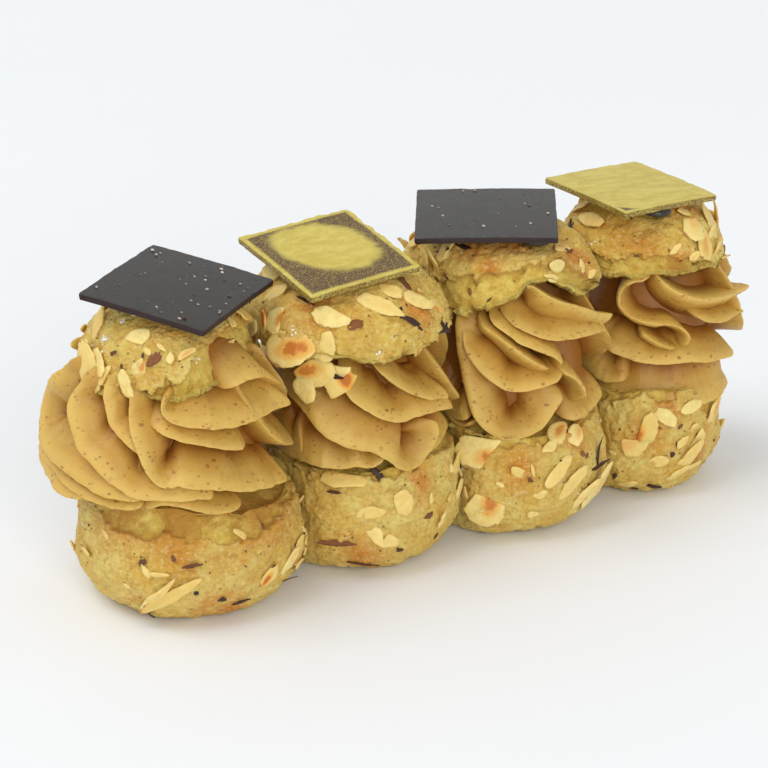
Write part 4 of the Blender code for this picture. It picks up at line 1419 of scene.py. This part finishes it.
def almond_finish(settings):
    """Toasted almond: pale and a little translucent, with a browned heart along its middle where it
    caught the heat, and thin strips of brown skin at its rim."""
    paint = Paint("almond")
    where = paint.place()
    u, v, toast, tone = (paint.point_value(key) for key in ("u", "v", "toast", "tone"))
    grain = paint.noise(where, 1.3, 4.0, 0.6)
    streaks = paint.noise(where, 2.6, 3.0, 0.6)
    aside, over = u - tone * 1.1 + 0.55, v + tone * 0.9 - 0.45
    heart = aside * aside * 2.6 + over * over * 5.0 + (streaks - 0.5) * 2.0 + (grain - 0.5) * 0.8
    rim = u * u + v * v
    skin = rim.step(0.86, 0.98) * streaks.step(0.5, 0.6)
    golden = (1 - heart.step(0.5, 2.2)) * toast
    browned = (1 - heart.step(0.1, 1.1)) * toast
    colour = paint.coats(
        settings.almond,
        (tone, tint(242, 220, 142)),
        (grain.step(0.35, 0.7) * 0.35, tint(216, 178, 88)),
        (skin * 0.7, tint(150, 88, 36)),
        (golden * 0.85, tint(230, 158, 46)),
        (browned.step(0.2, 1.0) * 0.85, tint(190, 98, 14)),
    )
    paint.set(
        Base_Color=colour,
        Roughness=0.45 + 0.1 * grain,
        Normal=paint.bump(grain + streaks, 0.2, 0.8),
        Subsurface_Weight=0.2,
        Subsurface_Radius=(1.0, 0.6, 0.25),
        Subsurface_Scale=0.001,
    )
    return paint.material


def chip_finish(name, light, dark, roughness):
    """A finish for small loose bits: each bit has its own tone between two colours, with some grain."""
    paint = Paint(name)
    grain = paint.noise(paint.place(), 0.6, 3.0)
    colour = paint.blend((paint.point_value("tone") + (grain - 0.5) * 0.6).clamped(), light, dark)
    paint.set(Base_Color=colour, Roughness=roughness + 0.1 * grain, Normal=paint.bump(grain, 0.06, 0.5))
    return paint.material


def floor_finish(settings):
    """A plain white table with the faintest unevenness."""
    paint = Paint("table")
    cloud = paint.noise(paint.place(), 180.0, 2.0)
    paint.set(Base_Color=paint.blend(cloud, settings.table, tint(247, 249, 251)), Roughness=0.7)
    return paint.material


# ------------------------------------------------------------
# Settings
# ------------------------------------------------------------

def colour_setting(name, description, default):
    """A colour in the settings panel."""
    return FloatVectorProperty(
        name=name, description=description, default=default, size=3, subtype="COLOR", min=0, max=1
    )


class CrustSettings(bpy.types.PropertyGroup):
    """Colours of the baked choux."""

    crust: colour_setting("Crust", "Main colour of the baked crust", tint(241, 204, 92))
    pale: colour_setting("Pale crust", "Colour of the less baked places", tint(251, 228, 126))
    toast: colour_setting("Toasted crust", "Colour of the places that caught the heat", tint(224, 140, 36))
    crumb: colour_setting("Crumb", "Colour of the torn crumb", tint(232, 193, 82))


class CreamSettings(bpy.types.PropertyGroup):
    """Look of the piped cream."""

    cream: colour_setting("Cream", "Main colour of the cream", tint(200, 161, 75))
    depth: FloatProperty(
        name="Fold depth", description="Depth of the piped folds", default=CREAM_DEPTH * MM,
        min=0.001, max=0.008, unit="LENGTH", precision=4,
    )
    specks: FloatProperty(
        name="Specks", description="Strength of the nut specks", default=0.75, min=0, max=1, subtype="FACTOR"
    )


class ChocolateSettings(bpy.types.PropertyGroup):
    """Colours of the chocolate squares."""

    dark: colour_setting("Dark chocolate", "Colour of the bare chocolate", tint(40, 34, 27))
    gold: colour_setting("Gold lustre", "Colour of the brushed gold", tint(204, 182, 76))


class ToppingSettings(bpy.types.PropertyGroup):
    """Amounts and colours of what is scattered on the crust."""

    almond: colour_setting("Almond", "Colour of an untoasted flake", tint(232, 200, 112))
    extra_flakes: IntProperty(name="More flakes", description="Flakes tried beyond the placed ones",
                              default=120, min=0, max=300)
    skins: IntProperty(name="Nut skins", description="Dark chips of nut skin", default=150, min=0, max=900)
    sugar: IntProperty(name="Sugar", description="Clusters of icing sugar", default=24, min=0, max=400)
    crumbs: IntProperty(name="Crumbs", description="Crumbs on the dark squares", default=60, min=0, max=400)


class StageSettings(bpy.types.PropertyGroup):
    """Table and light."""

    table: colour_setting("Table", "Colour of the table", tint(242, 245, 247))
    key: FloatProperty(name="Key light", description="Strength of the large soft light", default=1.0,
                       min=0, max=10)
    fill: FloatProperty(name="Surrounding light", description="Strength of the light from all round",
                        default=0.58, min=0, max=5)


# ------------------------------------------------------------
# Operators
# ------------------------------------------------------------

class PASTRY_OT_bases(bpy.types.Operator):
    """Add the four lower halves of the choux strip"""

    bl_idname = "pastry.bases"
    bl_label = "Lower halves"

    def execute(self, context):
        material = choux_finish(context.scene.pastry_crust)
        build_crust("base", base_surface, material, "choux_base")
        return {"FINISHED"}


class PASTRY_OT_lids(bpy.types.Operator):
    """Add the four torn tops of the choux strip"""

    bl_idname = "pastry.lids"
    bl_label = "Torn tops"

    def execute(self, context):
        material = choux_finish(context.scene.pastry_crust)
        build_crust("lid", lid_surface, material, "choux_lid")
        return {"FINISHED"}


class PASTRY_OT_cream(bpy.types.Operator):
    """Add the four piped swirls of praline cream"""

    bl_idname = "pastry.cream"
    bl_label = "Piped cream"

    def execute(self, context):
        settings = context.scene.pastry_cream
        material = cream_finish(settings)
        for index in range(BUN_COUNT):
            shells, values = zip(*swirl_shells(index, settings.depth / MM))
            piece = merged(f"cream_swirl_{index + 1}", shells, values)
            finished(piece, material, "praline_cream", f"cream_{index + 1}")
        return {"FINISHED"}


class PASTRY_OT_chocolate(bpy.types.Operator):
    """Add the chocolate squares and the dabs that hold two of them"""

    bl_idname = "pastry.chocolate"
    bl_label = "Chocolate squares"

    def execute(self, context):
        settings = context.scene.pastry_chocolate
        dark = dark_finish(settings)
        for number, name in enumerate(SQUARES):
            material, slot, fray = dark, "dark_chocolate", DARK_FRAY
            if name in GOLD_SWEEPS:
                title, swept, fray = GOLD_SWEEPS[name]
                material, slot = gold_finish(settings, title, swept), "gold_dust"
            grid, values = square_surface(name, fray, SEEDS["squares"] + number)
            piece = merged(name.replace("plaque", "square"), [grid], [values])
            piece.data.set_sharp_from_angle(angle=np.radians(SHARP_FROM))
            finished(piece, material, slot, name)
        for name in DABS:
            piece = merged(f"chocolate_{name}", [dab_surface(name)], [{}])
            finished(piece, dark, "dark_chocolate", name)
        return {"FINISHED"}


class PASTRY_OT_flakes(bpy.types.Operator):
    """Scatter the almond flakes"""

    bl_idname = "pastry.flakes"
    bl_label = "Almond flakes"

    def execute(self, context):
        settings = context.scene.pastry_topping
        piece = merged("almond_flakes", *flakes(settings.extra_flakes))
        finished(piece, almond_finish(settings), "almond")
        return {"FINISHED"}


class PASTRY_OT_bits(bpy.types.Operator):
    """Scatter nut skins, icing sugar and the crumbs on the squares"""

    bl_idname = "pastry.bits"
    bl_label = "Skins, sugar and crumbs"

    def execute(self, context):
        settings = context.scene.pastry_topping
        chips = merged("nut_skins", *skins(settings.skins, SEEDS["skins"]))
        finished(chips, chip_finish("nut_skin", tint(150, 88, 38), tint(52, 24, 14), 0.5), "almond")
        sugar = merged("icing_sugar", *grains(settings.sugar, SEEDS["sugar"]))
        finished(sugar, chip_finish("icing_sugar", tint(252, 250, 246), tint(240, 232, 216), 0.6), "sugar")
        crumbs = merged("square_crumbs", *square_crumbs(settings.crumbs, SEEDS["crumbs"]))
        finished(crumbs, chip_finish("crumb_bits", tint(236, 226, 206), tint(88, 52, 30), 0.6), "almond")
        return {"FINISHED"}


class PASTRY_OT_stage(bpy.types.Operator):
    """Set the table, the soft light and the camera"""

    bl_idname = "pastry.stage"
    bl_label = "Table and light"

    def execute(self, context):
        settings = context.scene.pastry_stage
        build_table(settings)
        build_light(settings)
        build_camera()
        return {"FINISHED"}


# ------------------------------------------------------------
# Stage
# ------------------------------------------------------------

CAMERA_TURN = -31.4
CAMERA_LIFT = 23.1
CAMERA_DISTANCE = 600.0
CAMERA_AIM = (-2.41, 14.29, 25.66)
CAMERA_LENS = 134.4
CAMERA_SENSOR = 36.0
LIGHT_AIM = (0.0, 0.0, 0.03)
KEY_PLACE = (-1.7, 0.35, 3.1)
KEY_WIDTH = 2.4
KEY_POWER = 51.0
FRONT_PLACE = (-0.9, -3.2, 1.5)
FRONT_WIDTH = 1.8
FRONT_POWER = 46.0
TABLE_SIDE = 5000.0
TABLE_FRONT = -4000.0
TABLE_BACK = 2000.0
TABLE_ARC = 1500.0


def build_table(settings):
    """A wide table that curves up far behind the bar: a profile of a flat stretch, an arc and a wall,
    carried along X."""
    arc = np.linspace(0, np.pi / 2, 24)
    flat = np.array([[TABLE_FRONT, 0.0], [0.0, 0.0], [TABLE_BACK, 0.0]])
    bend = joined(TABLE_BACK + TABLE_ARC * np.sin(arc), TABLE_ARC * (1 - np.cos(arc)))
    line = np.vstack([flat, bend[1:], [[TABLE_BACK + TABLE_ARC, TABLE_SIDE]]])
    across = np.linspace(-TABLE_SIDE, TABLE_SIDE, 3)
    points = joined(across, line[:, :1], line[:, 1:])
    number = np.arange(points.shape[0] * 3).reshape(-1, 3)
    quads = joined(number[:-1, :-1], number[:-1, 1:], number[1:, 1:], number[1:, :-1])
    table = new_mesh("table", points.reshape(-1, 3), quads)
    table.data.materials.append(floor_finish(settings))
    table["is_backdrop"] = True


def aimed(name, data, place, back):
    """A lamp or a camera at a place, which looks against the direction back."""
    holder = bpy.data.objects.new(name, data)
    holder.location = place
    holder.rotation_mode = "QUATERNION"
    holder.rotation_quaternion = back.to_track_quat("Z", "Y")
    bpy.context.scene.collection.objects.link(holder)
    return holder


def soft_light(name, place, width, power):
    """A large square area light."""
    lamp = bpy.data.lights.new(name, "AREA")
    lamp.size = width
    lamp.energy = power
    aimed(name, lamp, place, Vector(place) - Vector(LIGHT_AIM))


def build_light(settings):
    """White light from all round, and two large soft lights: from above on the left and from the front."""
    world = bpy.data.worlds.new("studio")
    world.use_nodes = True
    background = world.node_tree.nodes["Background"]
    background.inputs["Color"].default_value = (1.0, 1.0, 1.0, 1.0)
    background.inputs["Strength"].default_value = settings.fill
    scene = bpy.context.scene
    scene.world = world
    scene.view_settings.view_transform = "Standard"
    soft_light("key", KEY_PLACE, KEY_WIDTH, KEY_POWER * settings.key)
    soft_light("front", FRONT_PLACE, FRONT_WIDTH, FRONT_POWER * settings.key)


def build_camera():
    """A long lens from the front left, a little above the bar."""
    lens = bpy.data.cameras.new("camera")
    lens.lens = CAMERA_LENS
    lens.sensor_width = CAMERA_SENSOR
    lens.clip_start = 0.01
    lens.clip_end = 20.0
    turn, lift = np.radians(CAMERA_TURN), np.radians(CAMERA_LIFT)
    back = Vector((np.sin(turn) * np.cos(lift), -np.cos(turn) * np.cos(lift), np.sin(lift)))
    place = (Vector(CAMERA_AIM) + Vector(strip_shift()) + back * CAMERA_DISTANCE) * MM
    bpy.context.scene.camera = aimed("camera", lens, place, back)


# ------------------------------------------------------------
# Panel and registration
# ------------------------------------------------------------

STEPS = (
    PASTRY_OT_stage, PASTRY_OT_bases, PASTRY_OT_cream, PASTRY_OT_lids, PASTRY_OT_chocolate,
    PASTRY_OT_flakes, PASTRY_OT_bits,
)
SETTINGS = {
    "pastry_crust": CrustSettings,
    "pastry_cream": CreamSettings,
    "pastry_chocolate": ChocolateSettings,
    "pastry_topping": ToppingSettings,
    "pastry_stage": StageSettings,
}


class PASTRY_PT_panel(bpy.types.Panel):
    """Lists the steps of the pastry and their settings"""

    bl_idname = "PASTRY_PT_panel"
    bl_label = "Paris-brest bar"
    bl_space_type = "VIEW_3D"
    bl_region_type = "UI"
    bl_category = "Pastry"

    def draw(self, context):
        for operator in STEPS:
            self.layout.operator(operator.bl_idname)
        for key, group in SETTINGS.items():
            box = self.layout.box()
            for name in group.__annotations__:
                box.prop(getattr(context.scene, key), name)


def register():
    """Registers settings, operators and panel, and hangs the settings on the scene."""
    for group in SETTINGS.values():
        bpy.utils.register_class(group)
    for key, group in SETTINGS.items():
        setattr(bpy.types.Scene, key, PointerProperty(type=group))
    for operator in STEPS:
        bpy.utils.register_class(operator)
    bpy.utils.register_class(PASTRY_PT_panel)


def unregister():
    """Takes everything away that register added, in the reverse order."""
    bpy.utils.unregister_class(PASTRY_PT_panel)
    for operator in reversed(STEPS):
        bpy.utils.unregister_class(operator)
    for key, group in SETTINGS.items():
        delattr(bpy.types.Scene, key)
        bpy.utils.unregister_class(group)


def main():
    """Builds the stage and every piece."""
    register()
    for operator in STEPS:
        group, action = operator.bl_idname.split(".")
        getattr(getattr(bpy.ops, group), action)()
    boxes = {"cad": CAD_BOX, "visual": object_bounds()}
    {key: [list(corner) for corner in box] for key, box in boxes.items()}


if __name__ == "__main__":
    main()
